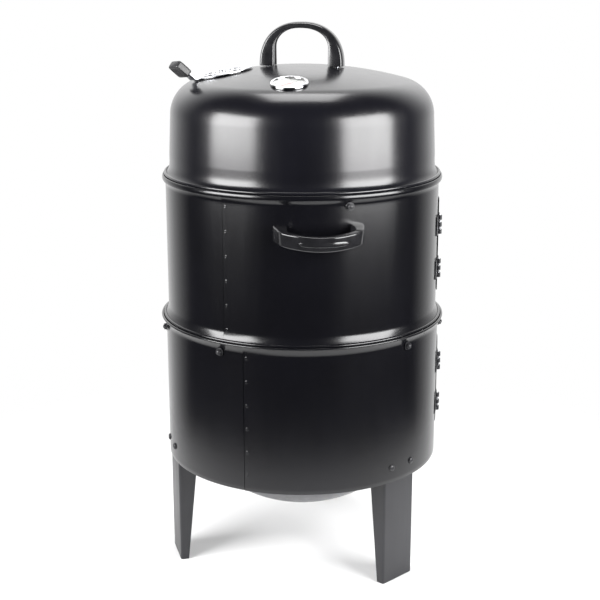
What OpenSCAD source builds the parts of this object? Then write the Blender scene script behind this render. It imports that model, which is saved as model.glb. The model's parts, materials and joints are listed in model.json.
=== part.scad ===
// Upright charcoal smoker: two stacked steel barrels on three legs, under a domed lid.
// Millimetres, +Z up, the ground is z = 0 and the smoker's axis is the Z axis.
// An azimuth of 0 points to -Y, the front, and grows towards +X, the door side.

/* [Barrels] */
// Outer radius of the lower barrel's wall
lower_r = 200; // [197:1:203]
// How much smaller the radius of the upper barrel's wall is
upper_step = 3.5; // [3:0.5:4.5]
// Height of the lower barrel's bottom edge
lower_base_z = 156; // [150:1:160]
// Height of the lower barrel's mouth
joint_z = 369; // [367:1:371]
// Height of the upper barrel's mouth
mouth_z = 574; // [572:1:576]
// Thickness of the barrel, lid and door sheet
sheet_t = 1.2; // [0.8:0.1:1.4]
// How far a flared rim stands out from its wall
lip_out = 5.2; // [4.5:0.1:5.5]

/* [Legs] */
// Width of a leg's outer face
leg_w = 62; // [54:1:64]
// Depth of a leg's side flanges at the foot
leg_foot_depth = 12; // [10:1:16]
// Depth of a leg's side flanges where the bowl rests
leg_top_depth = 28; // [26:1:30]
// Azimuth of the right leg, with the others a third of a turn apart
leg_azimuth = 45; // [40:1:50]

/* [Lid] */
// Radius of the lid's wall above its flare
lid_r = 190; // [188:0.5:191]
// Height of the lid's wall up to its shoulder
lid_wall_h = 83; // [75:1:90]
// Radius of the shoulder between wall and crown
shoulder_r = 50; // [40:1:60]
// Slope where the shoulder meets the crown, in degrees
crown_slope = 15; // [12:0.5:18]
// Outer width of the lid handle
lid_handle_w = 121; // [110:1:130]
// Height of the lid handle
lid_handle_h = 61; // [55:1:70]

/* [Doors] */
// Height of each door panel
door_h = 137; // [130:1:139]
// Angle that a door panel spans, in degrees
door_span = 55; // [50:1:58]
// Azimuth of the lower door's hinge pin
lower_hinge_azimuth = 86; // [84:1:88]
// Azimuth of the upper door's hinge pin
upper_hinge_azimuth = 82; // [80:1:84]

/* [Gauge and damper] */
// Outer radius of the thermometer's bezel
gauge_r = 25.5; // [22:0.5:28]
// Radius of the damper disc
damper_r = 43; // [40:1:45]
// Radius of each vent hole
vent_r = 9; // [7:0.5:9]

/* [Bowls and grates] */
// Outer radius of the charcoal bowl's rim
coal_rim_r = 178; // [176:1:179]
// Outer radius of the water bowl's rim
water_rim_r = 182; // [180:1:184]
// Depth of the water bowl
water_depth = 62; // [50:1:66]
// Radius of the cooking grate's ring centre line
lower_grate_r = 186; // [184:1:187]
// Radius of the upper cooking grate's ring centre line
top_grate_r = 182.5; // [180:0.5:184]

/* [Hidden] */

ROUND = 96;
SMALL = 32;
gap = 0.3;
hole_slack = 0.1;
flare_h = 13.2;
flare_steps = 8;

upper_r = lower_r - upper_step;
roll_r = 1.8;
bead_r = 2.2;

steel_black = [0.05, 0.05, 0.06];
handle_black = [0.03, 0.03, 0.03];
bright_steel = [0.75, 0.76, 0.78];
bowl_grey = [0.20, 0.20, 0.22];

// Height of the centre of each rolled rim, and of the bead that sits in it
joint_roll_z = joint_z - roll_r;
joint_bead_z = joint_roll_z + 2.7;
mouth_roll_z = mouth_z - roll_r;
lid_bead_z = mouth_roll_z + 3.6;
mouth_lip_out = lip_out - 2.3;
lid_bead_r = upper_r - 0.3;

// Bracket bolts, their heights and azimuths
lower_bolt_z = joint_z - 16;
top_bolt_z = mouth_z - 16;
water_bracket_azimuths = [-34, 86, 206];
grate_bracket_azimuths = [46.5, 166, 282];
top_bracket_azimuths = [18.5, 138.5, 258.5];
bracket_w = 16;
bracket_t = 1.5;
ledge_depth = 25;
water_ledge_z = joint_z - 60;
lower_grate_ledge_z = joint_z - 26;
top_grate_ledge_z = mouth_z - 40;
bolt_r = 2.5;
nut_across = 8;
screw_head_r = 4.5;
screw_head_h = 3;

// Legs
leg_t = 1.5;
leg_face_r = lower_r - sheet_t - 2.8;
leg_top_z = lower_base_z + 44;
leg_rest_z = lower_base_z + 12;
leg_bolt_z = lower_base_z + 22;
leg_bolt_turn = 5.9;
leg_azimuths = [leg_azimuth, leg_azimuth - 120, leg_azimuth + 120];

// Bowls
bowl_t = 1.2;
coal_rim_z = leg_rest_z + gap;
coal_depth = 93;
coal_r = 169.7;
water_rim_z = water_ledge_z + bracket_t + gap;
water_r = water_rim_r - 14;

// Grates
coal_grate_r = 120;
coal_grate_drop = 47.7;
coal_rod_r = 2.5;
coal_bar_spacing = 18;
rod_r = 3;
bar_r = 2;
bar_spacing = 20;

// Doors and hinges
door_gap = 0.4;
door_margin = 10;
lower_door_z = joint_z - 177;
upper_door_z = joint_z + 32;
door_edge_turn = 1.5;
opening_turn = 3.5;
hinge_h = 27;
knuckle_r = 2.9;
pin_r = 1.4;
pin_slack = 0.05;
knuckle_end_h = 6.5;
knuckle_mid_h = 6;
leaf_t = 1.2;
leaf_turn = 6;
pin_out = 3.3;
hinge_margin = 36.5;
hinge_offsets = [door_h / 2 - hinge_margin, hinge_margin - door_h / 2];
latch_turn = 8;
spindle_r = 3;
tongue_len = 40;
tongue_w = 12;
tongue_t = 1.6;
tongue_inset = 2.7;

// Side handles
handle_azimuth = 6.5;
handle_half_w = 60;
handle_foot_w = 18;
handle_low_z = joint_z + 140;
handle_h = 25;
bow_r = 72.5;
bow_t = 11;
bow_out = 250 - lower_r + upper_step;

// Lid
lid_top_r = lid_r - 2.5;
shoulder_z = mouth_z + lid_wall_h;
shoulder_turn = 90 - crown_slope;
shoulder_cx = lid_top_r - shoulder_r;
join_r = shoulder_cx + shoulder_r * cos(shoulder_turn);
join_z = shoulder_z + shoulder_r * sin(shoulder_turn);
crown_r = join_r / cos(shoulder_turn);
crown_cz = join_z - crown_r * sin(shoulder_turn);
lid_flare_top_z = mouth_z + 29;
lid_handle_azimuth = -12;
lid_handle_z = crown_cz + crown_r - 1;
lid_handle_d = 25;
lid_screw_x = lid_handle_w / 2 - 10.5;

// Gauge and damper places on the crown
gauge_azimuth = -7.5;
gauge_at_r = 128;
gauge_h = 3.4;
gauge_depth = 13;
case_r = gauge_r - 3.2;
stem_r = 3;
stem_len = 48;
damper_azimuth = -88;
damper_at_r = 112;
damper_t = 1.2;
vent_at_r = 25;
vent_count = 4;
damper_screw_r = 3;
tab_turn = 35;
tab_w = 16;
tab_end_r = 52;
tab_lift = 50;
tab_len = 24;
grip_w = 24;
grip_t = 13;
grip_h = 24;
grip_base = 13;

// Points and outlines

function arc_points(cx, cz, r, from, to, steps) =
    [for (i = [0:steps]) let (a = from + (to - from) * i / steps) [cx + r * cos(a), cz + r * sin(a)]];

function reversed(points) = [for (i = [len(points) - 1:-1:0]) points[i]];

// A sheet edge that bends outwards from wall_r to wall_r + out between two heights
function flare_points(wall_r, out, from_z, to_z) =
    [for (i = [0:flare_steps])
        let (t = i / flare_steps) [wall_r + out * (1 - cos(90 * t)), from_z + (to_z - from_z) * t]];

function superellipse_points(a, b, power, steps) =
    [for (i = [0:steps])
        let (t = 180 * i / steps, c = cos(t), s = sin(t))
        [a * sign(c) * pow(abs(c), 2 / power), b * pow(abs(s), 2 / power)]];

// A closed strip of sheet inside a line of [radius, height] points
module sheet_strip(points) {
    polygon(concat(points, reversed([for (p = points) [p[0] - sheet_t, p[1]]])));
}

module revolve() {
    rotate_extrude($fn = ROUND) children();
}

module at_azimuth(azimuth) {
    rotate([0, 0, azimuth]) children();
}

// Moves children to a place on the wall, with their +Z pointing out of it
module on_wall(azimuth, radius, z) {
    at_azimuth(azimuth) translate([0, -radius, z]) rotate([90, 0, 0]) children();
}

// Moves children to a place on the lid's crown, with their +Z along its normal
module on_crown(azimuth, radius) {
    tilt = asin(radius / crown_r);
    at_azimuth(azimuth)
        translate([0, -radius, crown_cz + crown_r * cos(tilt)])
        rotate([tilt, 0, 0])
        children();
}

// A curved panel between two radii, over a span of azimuth
module sector(inner_r, outer_r, low_z, high_z, from_azimuth, span) {
    rotate([0, 0, from_azimuth - 90])
        rotate_extrude(angle = span, $fn = ROUND)
        translate([inner_r, low_z])
        square([outer_r - inner_r, high_z - low_z]);
}

module dome_head(radius, height) {
    ball_r = (radius * radius + height * height) / (2 * height);
    intersection() {
        translate([0, 0, height - ball_r]) sphere(ball_r, $fn = SMALL);
        cylinder(r = radius + 1, h = height + 1, $fn = SMALL);
    }
}

module hex_nut(across, height, bore_r) {
    difference() {
        cylinder(r = across / sqrt(3), h = height, $fn = 6);
        translate([0, 0, -1]) cylinder(r = bore_r, h = height + 2, $fn = SMALL);
    }
}

// Barrels

module door_opening(wall_r, low_z, hinge_azimuth) {
    sector(wall_r - 10, wall_r + 10, low_z + door_margin, low_z + door_h - door_margin,
        hinge_azimuth + door_edge_turn + opening_turn, door_span - 2 * opening_turn);
}

module bracket_holes(azimuths, wall_r, z) {
    for (a = azimuths)
        on_wall(a, wall_r - 15, z) cylinder(r = bolt_r + hole_slack, h = 30, $fn = SMALL);
}

module lower_barrel() {
    color(steel_black)
    difference() {
        revolve() {
            sheet_strip(concat([[lower_r, lower_base_z]],
                flare_points(lower_r, lip_out, joint_roll_z - flare_h, joint_roll_z)));
            translate([lower_r + lip_out, joint_roll_z]) circle(roll_r, $fn = SMALL);
        }
        door_opening(lower_r, lower_door_z, lower_hinge_azimuth);
        bracket_holes(water_bracket_azimuths, lower_r, lower_bolt_z);
        bracket_holes(grate_bracket_azimuths, lower_r, lower_bolt_z);
        for (leg = leg_azimuths)
            bracket_holes([leg - leg_bolt_turn, leg + leg_bolt_turn], lower_r, leg_bolt_z);
    }
}

module upper_barrel() {
    foot_out = 4.8;
    color(steel_black)
    difference() {
        revolve() {
            sheet_strip(concat(
                reversed(flare_points(upper_r, foot_out, joint_bead_z + flare_h, joint_bead_z)),
                flare_points(upper_r, mouth_lip_out, mouth_roll_z - flare_h, mouth_roll_z)));
            translate([upper_r + foot_out, joint_bead_z]) circle(bead_r, $fn = SMALL);
            translate([upper_r + mouth_lip_out, mouth_roll_z]) circle(roll_r, $fn = SMALL);
        }
        door_opening(upper_r, upper_door_z, upper_hinge_azimuth);
        bracket_holes(top_bracket_azimuths, upper_r, top_bolt_z);
        for (a = [handle_azimuth, handle_azimuth + 180]) side_screw_holes(a);
    }
}

// Legs

module leg(azimuth) {
    face_y = -leg_face_r;
    color(steel_black)
    difference() {
        at_azimuth(azimuth) {
            translate([-leg_w / 2, face_y, 0]) cube([leg_w, leg_t, leg_top_z]);
            translate([-leg_w / 2, face_y, 0]) cube([leg_w, leg_foot_depth, leg_t]);
            for (x = [-leg_w / 2, leg_w / 2 - leg_t])
                translate([x, 0, 0])
                rotate([90, 0, 90])
                linear_extrude(leg_t)
                polygon([
                    [face_y, 0],
                    [face_y + leg_foot_depth, 0],
                    [face_y + leg_top_depth, lower_base_z],
                    [face_y + leg_top_depth, leg_rest_z],
                    [face_y, leg_rest_z]
                ]);
        }
        bracket_holes([azimuth - leg_bolt_turn, azimuth + leg_bolt_turn], lower_r, leg_bolt_z);
    }
}

module leg_bolts() {
    color(steel_black)
    for (leg = leg_azimuths, turn = [-leg_bolt_turn, leg_bolt_turn]) {
        on_wall(leg + turn, lower_r + 0.02, leg_bolt_z) dome_head(4.8, 2.8);
        on_wall(leg + turn, lower_r - 13, leg_bolt_z) cylinder(r = bolt_r, h = 13.1, $fn = SMALL);
    }
}

module leg_nuts() {
    color(steel_black)
    for (leg = leg_azimuths, turn = [-leg_bolt_turn, leg_bolt_turn])
        on_wall(leg + turn, lower_r - 10, leg_bolt_z) hex_nut(nut_across, 4, bolt_r + 0.02);
}

// Brackets: a strap on the inside of the wall with a ledge at its foot

module bracket(azimuth, wall_r, ledge_z, bolt_z) {
    strap_r = wall_r - sheet_t - 0.4;
    color(bright_steel)
    difference() {
        at_azimuth(azimuth) {
            translate([-bracket_w / 2, -strap_r, ledge_z])
                cube([bracket_w, bracket_t, bolt_z + 7 - ledge_z]);
            translate([-bracket_w / 2, -strap_r, ledge_z])
                cube([bracket_w, ledge_depth, bracket_t]);
        }
        bracket_holes([azimuth], wall_r, bolt_z);
    }
}

module bracket_bolts(azimuths, wall_r, z) {
    head_r = wall_r - sheet_t - 0.4 - bracket_t - 3.1;
    tip_r = wall_r + 6.8;
    color(steel_black)
    for (a = azimuths) {
        on_wall(a, head_r, z) cylinder(r = screw_head_r, h = screw_head_h, $fn = SMALL);
        on_wall(a, head_r + 2, z) cylinder(r = bolt_r, h = tip_r - head_r - 2, $fn = SMALL);
    }
}

// A washer against the outside of the wall, with its nut
module bracket_nuts(azimuths, wall_r, z) {
    washer_t = 1.2;
    seat_r = wall_r + 0.9;
    color(steel_black)
    for (a = azimuths) {
        on_wall(a, seat_r, z)
            difference() {
                cylinder(r = 6, h = washer_t, $fn = SMALL);
                translate([0, 0, -1]) cylinder(r = bolt_r + 0.02, h = 4, $fn = SMALL);
            }
        on_wall(a, seat_r + washer_t, z) hex_nut(nut_across, 3.4, bolt_r + 0.02);
    }
}

// Bowls and grates

// A spherical bowl of sheet with a flat rim, whose underside is at rim_z
module bowl(rim_r, mouth_r, depth, rim_z) {
    ball_r = (mouth_r * mouth_r + depth * depth) / (2 * depth);
    low_z = rim_z + bowl_t / 2 - depth;
    color(bowl_grey)
    revolve() {
        intersection() {
            translate([0, low_z + ball_r])
                difference() {
                    circle(ball_r, $fn = ROUND);
                    circle(ball_r - bowl_t, $fn = ROUND);
                }
            translate([0, low_z - 1]) square([rim_r, depth + 1]);
        }
        translate([mouth_r - 2.5, rim_z]) square([rim_r - mouth_r + 2.5, bowl_t]);
    }
}

// A ring of rod with parallel bars welded across it
module grate(ring_r, ring_rod_r, cross_r, spacing, z) {
    count = floor((ring_r - 8) / spacing);
    color(bright_steel) {
        translate([0, 0, z]) revolve() translate([ring_r, 0]) circle(ring_rod_r, $fn = 16);
        for (i = [-count:count]) {
            half = sqrt(ring_r * ring_r - i * i * spacing * spacing);
            translate([-half, i * spacing, z + 0.6])
                rotate([0, 90, 0])
                cylinder(r = cross_r, h = 2 * half, $fn = 16);
        }
    }
}

module charcoal_bowl() {
    bowl(coal_rim_r, coal_r, coal_depth, coal_rim_z);
}

module charcoal_grate() {
    grate(coal_grate_r, coal_rod_r, bar_r, coal_bar_spacing, coal_rim_z - coal_grate_drop);
}

module water_bowl() {
    bowl(water_rim_r, water_r, water_depth, water_rim_z);
}

module lower_grate() {
    grate(lower_grate_r, rod_r, bar_r, bar_spacing, lower_grate_ledge_z + bracket_t + gap + rod_r);
}

module top_grate() {
    grate(top_grate_r, rod_r, bar_r, bar_spacing, top_grate_ledge_z + bracket_t + gap + rod_r);
}

// Doors: a curved panel over the opening, on two butt hinges

module door_panel(wall_r, low_z, hinge_azimuth) {
    inner_r = wall_r + door_gap;
    spindle_azimuth = hinge_azimuth + door_edge_turn + door_span - latch_turn;
    color(steel_black)
    difference() {
        sector(inner_r, inner_r + sheet_t, low_z, low_z + door_h, hinge_azimuth + door_edge_turn, door_span);
        on_wall(spindle_azimuth, wall_r - 10, low_z + door_h / 2)
            cylinder(r = spindle_r + 0.2, h = 20, $fn = SMALL);
    }
}

// Moves children to each hinge's centre, with +Z along the pin
module at_hinges(wall_r, low_z, hinge_azimuth) {
    for (offset_z = hinge_offsets)
        at_azimuth(hinge_azimuth)
        translate([0, -wall_r - pin_out, low_z + door_h / 2 + offset_z])
        children();
}

// One knuckle round the pin, with a flat web that reaches its leaf
module knuckle(height, web_out, side) {
    linear_extrude(height, center = true)
    difference() {
        union() {
            circle(knuckle_r, $fn = SMALL);
            translate([side > 0 ? 0 : -5, web_out]) square([5, leaf_t]);
        }
        circle(pin_r + pin_slack, $fn = SMALL);
    }
}

module rivet_heads(radius, azimuth, low_z) {
    for (offset_z = hinge_offsets, side = [-1, 1])
        on_wall(azimuth, radius - 0.1, low_z + door_h / 2 + offset_z + side * 7)
        dome_head(2.4, 1.3);
}

module fixed_leaves(wall_r, low_z, hinge_azimuth) {
    inner_r = wall_r + 0.3;
    end_z = (hinge_h - knuckle_end_h) / 2;
    color(steel_black) {
        at_hinges(wall_r, low_z, hinge_azimuth)
            for (side = [-1, 1])
                translate([0, 0, side * end_z]) knuckle(knuckle_end_h, pin_out - 0.3 - leaf_t, -1);
        for (offset_z = hinge_offsets)
            sector(inner_r, inner_r + leaf_t, low_z + (door_h - hinge_h) / 2 + offset_z,
                low_z + (door_h + hinge_h) / 2 + offset_z, hinge_azimuth - leaf_turn, leaf_turn - 1);
        rivet_heads(inner_r + leaf_t, hinge_azimuth - leaf_turn / 2 - 0.5, low_z);
    }
}

module door_leaves(wall_r, low_z, hinge_azimuth) {
    inner_r = wall_r + door_gap + sheet_t + 0.1;
    color(steel_black) {
        at_hinges(wall_r, low_z, hinge_azimuth)
            knuckle(knuckle_mid_h, wall_r + pin_out - inner_r - leaf_t, 1);
        for (offset_z = hinge_offsets)
            sector(inner_r, inner_r + leaf_t, low_z + (door_h - hinge_h) / 2 + offset_z,
                low_z + (door_h + hinge_h) / 2 + offset_z, hinge_azimuth + 1, leaf_turn - 1);
        rivet_heads(inner_r + leaf_t, hinge_azimuth + leaf_turn / 2 + 0.7, low_z);
    }
}

module hinge_pins(wall_r, low_z, hinge_azimuth) {
    color(bright_steel)
    at_hinges(wall_r, low_z, hinge_azimuth)
        cylinder(r = pin_r, h = hinge_h + 1, center = true, $fn = SMALL);
}

// A turning latch: a bar knob outside, and a tongue that hooks behind the wall
module latch_knob(wall_r, low_z, hinge_azimuth) {
    spindle_azimuth = hinge_azimuth + door_edge_turn + door_span - latch_turn;
    face_r = wall_r + door_gap + sheet_t + gap;
    color(handle_black)
    on_wall(spindle_azimuth, face_r, low_z + door_h / 2)
        difference() {
            union() {
                cylinder(r = 10, h = 4, $fn = SMALL);
                translate([-4, -15, 3.9]) cube([8, 30, 11]);
            }
            translate([0, 0, -1]) cylinder(r = spindle_r + 0.02, h = 9, $fn = SMALL);
        }
}

module latch_tongue(wall_r, low_z, hinge_azimuth) {
    spindle_azimuth = hinge_azimuth + door_edge_turn + door_span - latch_turn;
    tongue_r = wall_r - sheet_t - tongue_inset - tongue_t;
    face_r = wall_r + door_gap + sheet_t + gap;
    color(bright_steel)
    on_wall(spindle_azimuth, tongue_r, low_z + door_h / 2) {
        translate([-tongue_w / 2, -tongue_len / 2, 0]) cube([tongue_w, tongue_len, tongue_t]);
        translate([0, 0, -1]) cylinder(r = spindle_r, h = face_r + 8 - tongue_r, $fn = SMALL);
    }
}

// Side handles: a bow that stands off the upper barrel's wall

module side_screw_holes(azimuth) {
    at_azimuth(azimuth)
    for (side = [-1, 1])
        translate([side * (handle_half_w - handle_foot_w / 2), -upper_r - 10, handle_low_z + handle_h / 2])
        rotate([-90, 0, 0])
        cylinder(r = bolt_r + hole_slack, h = 40, $fn = SMALL);
}

module side_handle(azimuth) {
    root_y = -upper_r + 14;
    bow_y = -upper_r - bow_out + bow_r;
    bow_turn = 45;
    arm_y = -upper_r - 22;
    inner_x = handle_half_w - handle_foot_w;
    outer_bow = arc_points(0, bow_y, bow_r, bow_turn - 90, -bow_turn - 90, 12);
    inner_bow = arc_points(0, bow_y, bow_r - bow_t, -42 - 90, 42 - 90, 12);
    color(handle_black)
    difference() {
        at_azimuth(azimuth)
            translate([0, 0, handle_low_z])
            linear_extrude(handle_h)
            polygon(concat(
                [[inner_x, root_y], [handle_half_w, root_y], [handle_half_w - 2, arm_y]],
                outer_bow,
                [[2 - handle_half_w, arm_y], [-handle_half_w, root_y], [-inner_x, root_y],
                    [-inner_x, arm_y + 8]],
                inner_bow,
                [[inner_x, arm_y + 8]]));
        cylinder(r = upper_r + 0.2, h = 1000, $fn = ROUND);
        side_screw_holes(azimuth);
    }
}

module side_handle_screws() {
    color(bright_steel)
    for (azimuth = [handle_azimuth, handle_azimuth + 180], side = [-1, 1])
        at_azimuth(azimuth)
        translate([side * (handle_half_w - handle_foot_w / 2), -upper_r + 12.5, handle_low_z + handle_h / 2])
        rotate([90, 0, 0]) {
            cylinder(r = screw_head_r, h = screw_head_h, $fn = SMALL);
            cylinder(r = bolt_r, h = 20, $fn = SMALL);
        }
}

// Lid

module lid_shell() {
    outer = concat(
        reversed(flare_points(lid_r, lid_bead_r - lid_r, lid_flare_top_z, lid_bead_z)),
        arc_points(shoulder_cx, shoulder_z, shoulder_r, 0, shoulder_turn, 10),
        arc_points(0, crown_cz, crown_r, shoulder_turn + 1.5, 90, 9));
    inner = concat(
        reversed(flare_points(lid_r - sheet_t, lid_bead_r - lid_r, lid_flare_top_z, lid_bead_z)),
        arc_points(shoulder_cx, shoulder_z, shoulder_r - sheet_t, 0, shoulder_turn, 10),
        arc_points(0, crown_cz, crown_r - sheet_t, shoulder_turn + 1.5, 90, 9));
    color(steel_black)
    difference() {
        revolve() {
            polygon(concat(outer, reversed(inner)));
            translate([lid_bead_r, lid_bead_z]) circle(2.4, $fn = SMALL);
        }
        on_crown(gauge_azimuth, gauge_at_r)
            translate([0, 0, -5]) cylinder(r = case_r + hole_slack, h = 10, $fn = ROUND);
        on_crown(damper_azimuth, damper_at_r) damper_holes();
        lid_screw_holes();
    }
}

module lid_screw_holes() {
    at_azimuth(lid_handle_azimuth)
    for (side = [-1, 1])
        translate([side * lid_screw_x, 0, lid_handle_z - 12])
        cylinder(r = bolt_r + hole_slack, h = 30, $fn = SMALL);
}

module lid_handle() {
    opening_half_w = lid_handle_w / 2 - 21.5;
    straight_h = lid_handle_h - 8.7 - 28;
    outer = superellipse_points(lid_handle_w / 2, lid_handle_h, 2.3, 28);
    inner = [for (p = superellipse_points(opening_half_w, 28, 2.2, 20)) [p[0], p[1] + straight_h]];
    color(handle_black)
    difference() {
        at_azimuth(lid_handle_azimuth)
            translate([0, 0, lid_handle_z])
            rotate([90, 0, 0])
            linear_extrude(lid_handle_d, center = true)
            difference() {
                polygon(outer);
                polygon(concat([[opening_half_w, -1]], inner, [[-opening_half_w, -1]]));
            }
        lid_screw_holes();
    }
}

module lid_handle_screws() {
    color(bright_steel)
    at_azimuth(lid_handle_azimuth)
    for (side = [-1, 1])
        translate([side * lid_screw_x, 0, lid_handle_z - 6.6]) {
            cylinder(r = screw_head_r, h = screw_head_h, $fn = SMALL);
            cylinder(r = bolt_r, h = 22, $fn = SMALL);
        }
}

// Damper: a turning disc over four vent holes in the crown

module damper_holes() {
    translate([0, 0, -6]) {
        cylinder(r = damper_screw_r + hole_slack, h = 12, $fn = SMALL);
        for (i = [0:vent_count - 1])
            rotate([0, 0, 45 + i * 360 / vent_count])
            translate([vent_at_r, 0, 0])
            cylinder(r = vent_r, h = 12, $fn = SMALL);
    }
}

module damper_disc() {
    color(bright_steel)
    on_crown(damper_azimuth, damper_at_r)
        difference() {
            translate([0, 0, gap]) {
                cylinder(r = damper_r, h = damper_t, $fn = ROUND);
                rotate([0, 0, tab_turn]) {
                    translate([-tab_w / 2, -tab_end_r, 0]) cube([tab_w, tab_end_r - damper_r + 4, damper_t]);
                    translate([0, -tab_end_r + 0.6, 0])
                        rotate([90 - tab_lift, 0, 0])
                        translate([-tab_w / 2, -damper_t / 2, 0])
                        cube([tab_w, damper_t, tab_len]);
                }
            }
            damper_holes();
        }
}

module damper_grip() {
    color(handle_black)
    on_crown(damper_azimuth, damper_at_r)
        translate([0, 0, gap])
        rotate([0, 0, tab_turn])
        translate([0, -tab_end_r + 0.6, 0])
        rotate([90 - tab_lift, 0, 0])
        difference() {
            translate([-grip_w / 2, -grip_t / 2, grip_base]) cube([grip_w, grip_t, grip_h]);
            translate([-tab_w / 2 - 0.05, -damper_t / 2 - 0.05, grip_base - 1])
                cube([tab_w + 0.1, damper_t + 0.1, tab_len - grip_base + 1.1]);
        }
}

module damper_screw() {
    color(bright_steel)
    on_crown(damper_azimuth, damper_at_r) {
        translate([0, 0, 3.9]) cylinder(r = 5.3, h = 1.7, $fn = SMALL);
        translate([0, 0, gap + damper_t + gap]) cylinder(r = 4, h = 2.2, $fn = SMALL);
        translate([0, 0, -8]) cylinder(r = damper_screw_r, h = 12, $fn = SMALL);
    }
}

module damper_nut() {
    color(bright_steel)
    on_crown(damper_azimuth, damper_at_r)
        translate([0, 0, -6.3]) hex_nut(10, 4.6, damper_screw_r + 0.02);
}

// Gauge: a dial thermometer set in a hole in the crown, with a stem that hangs from its case

module gauge_place() {
    on_crown(gauge_azimuth, gauge_at_r) children();
}

module gauge_case() {
    floor_z = gauge_h - gauge_depth;
    color(bright_steel)
    gauge_place()
        difference() {
            translate([0, 0, floor_z]) cylinder(r = case_r, h = gauge_depth - 2.2, $fn = ROUND);
            translate([0, 0, floor_z + 1.5]) cylinder(r = case_r - 1.2, h = gauge_depth, $fn = ROUND);
            translate([0, 0, floor_z - 1]) cylinder(r = stem_r + 0.02, h = 6, $fn = SMALL);
        }
}

module gauge_bezel() {
    color(bright_steel)
    gauge_place()
        revolve() polygon([
            [case_r + 0.05, 0.15], [gauge_r, 0.15], [gauge_r, gauge_h - 1.2], [gauge_r - 1.2, gauge_h],
            [case_r - 0.6, gauge_h], [case_r - 0.6, gauge_h - 1], [case_r + 0.05, gauge_h - 1]
        ]);
}

module gauge_dial() {
    color("white")
    gauge_place()
        difference() {
            translate([0, 0, gauge_h - 5.4]) cylinder(r = case_r - 1.25, h = 0.8, $fn = ROUND);
            translate([0, 0, gauge_h - 7]) cylinder(r = 1.2, h = 4, $fn = SMALL);
        }
}

module gauge_lens() {
    color([0.9, 0.95, 1, 0.4])
    gauge_place()
        translate([0, 0, gauge_h - 2.15]) cylinder(r = case_r - 0.05, h = 1.1, $fn = ROUND);
}

module gauge_stem() {
    stem_top_z = gauge_h - gauge_depth + 2.5;
    color(bright_steel)
    gauge_place()
        translate([0, 0, -stem_len]) cylinder(r = stem_r, h = stem_len + stem_top_z, $fn = SMALL);
}

// A ring nut round the case, under the crown
module gauge_nut() {
    ring_h = 3;
    color(bright_steel)
    gauge_place()
        translate([0, 0, -2.1 - ring_h])
        difference() {
            cylinder(r = gauge_r, h = ring_h, $fn = ROUND);
            translate([0, 0, -1]) cylinder(r = case_r + 0.05, h = ring_h + 2, $fn = ROUND);
        }
}

module gauge_needle() {
    color([0.7, 0.1, 0.08])
    gauge_place()
        translate([0, 0, gauge_h - 4.1]) {
            cylinder(r = 2.4, h = 0.8, $fn = SMALL);
            translate([0, 0, -2.4]) cylinder(r = 0.9, h = 2.5, $fn = SMALL);
            rotate([0, 0, -45])
                linear_extrude(0.6)
                polygon([[-1.1, 6], [1.1, 6], [0.3, -16], [-0.3, -16]]);
        }
}

lower_barrel();
leg(leg_azimuths[0]);  // leg_right
leg(leg_azimuths[1]);  // leg_left
leg(leg_azimuths[2]);  // leg_rear
leg_bolts();
leg_nuts();
for (a = water_bracket_azimuths) bracket(a, lower_r, water_ledge_z, lower_bolt_z);  // water_bowl_brackets
for (a = grate_bracket_azimuths) bracket(a, lower_r, lower_grate_ledge_z, lower_bolt_z);  // lower_grate_brackets
bracket_bolts(concat(water_bracket_azimuths, grate_bracket_azimuths), lower_r, lower_bolt_z);  // lower_bracket_bolts
bracket_nuts(concat(water_bracket_azimuths, grate_bracket_azimuths), lower_r, lower_bolt_z);  // lower_bracket_nuts
fixed_leaves(lower_r, lower_door_z, lower_hinge_azimuth);  // lower_hinge_leaves
hinge_pins(lower_r, lower_door_z, lower_hinge_azimuth);  // lower_hinge_pins
charcoal_bowl();
charcoal_grate();
water_bowl();
lower_grate();
door_panel(lower_r, lower_door_z, lower_hinge_azimuth);  // lower_door
door_leaves(lower_r, lower_door_z, lower_hinge_azimuth);  // lower_door_leaves
latch_knob(lower_r, lower_door_z, lower_hinge_azimuth);  // lower_latch_knob
latch_tongue(lower_r, lower_door_z, lower_hinge_azimuth);  // lower_latch_tongue
upper_barrel();
side_handle(handle_azimuth);  // front_handle
side_handle(handle_azimuth + 180);  // rear_handle
side_handle_screws();
for (a = top_bracket_azimuths) bracket(a, upper_r, top_grate_ledge_z, top_bolt_z);  // top_grate_brackets
bracket_bolts(top_bracket_azimuths, upper_r, top_bolt_z);  // top_bracket_bolts
bracket_nuts(top_bracket_azimuths, upper_r, top_bolt_z);  // top_bracket_nuts
fixed_leaves(upper_r, upper_door_z, upper_hinge_azimuth);  // upper_hinge_leaves
hinge_pins(upper_r, upper_door_z, upper_hinge_azimuth);  // upper_hinge_pins
door_panel(upper_r, upper_door_z, upper_hinge_azimuth);  // upper_door
door_leaves(upper_r, upper_door_z, upper_hinge_azimuth);  // upper_door_leaves
latch_knob(upper_r, upper_door_z, upper_hinge_azimuth);  // upper_latch_knob
latch_tongue(upper_r, upper_door_z, upper_hinge_azimuth);  // upper_latch_tongue
top_grate();
lid_shell();
lid_handle();
lid_handle_screws();
damper_screw();
damper_nut();
damper_disc();
damper_grip();
gauge_case();
gauge_bezel();
gauge_dial();
gauge_lens();
gauge_stem();
gauge_nut();
gauge_needle();
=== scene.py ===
"""Looks of an upright charcoal barrel smoker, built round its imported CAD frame. Metres, +Z up.
An azimuth of 0 points to -Y, the front, and grows towards +X, the door side."""
import json
import math

import bmesh
import bpy
from mathutils import Matrix, Vector


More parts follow.
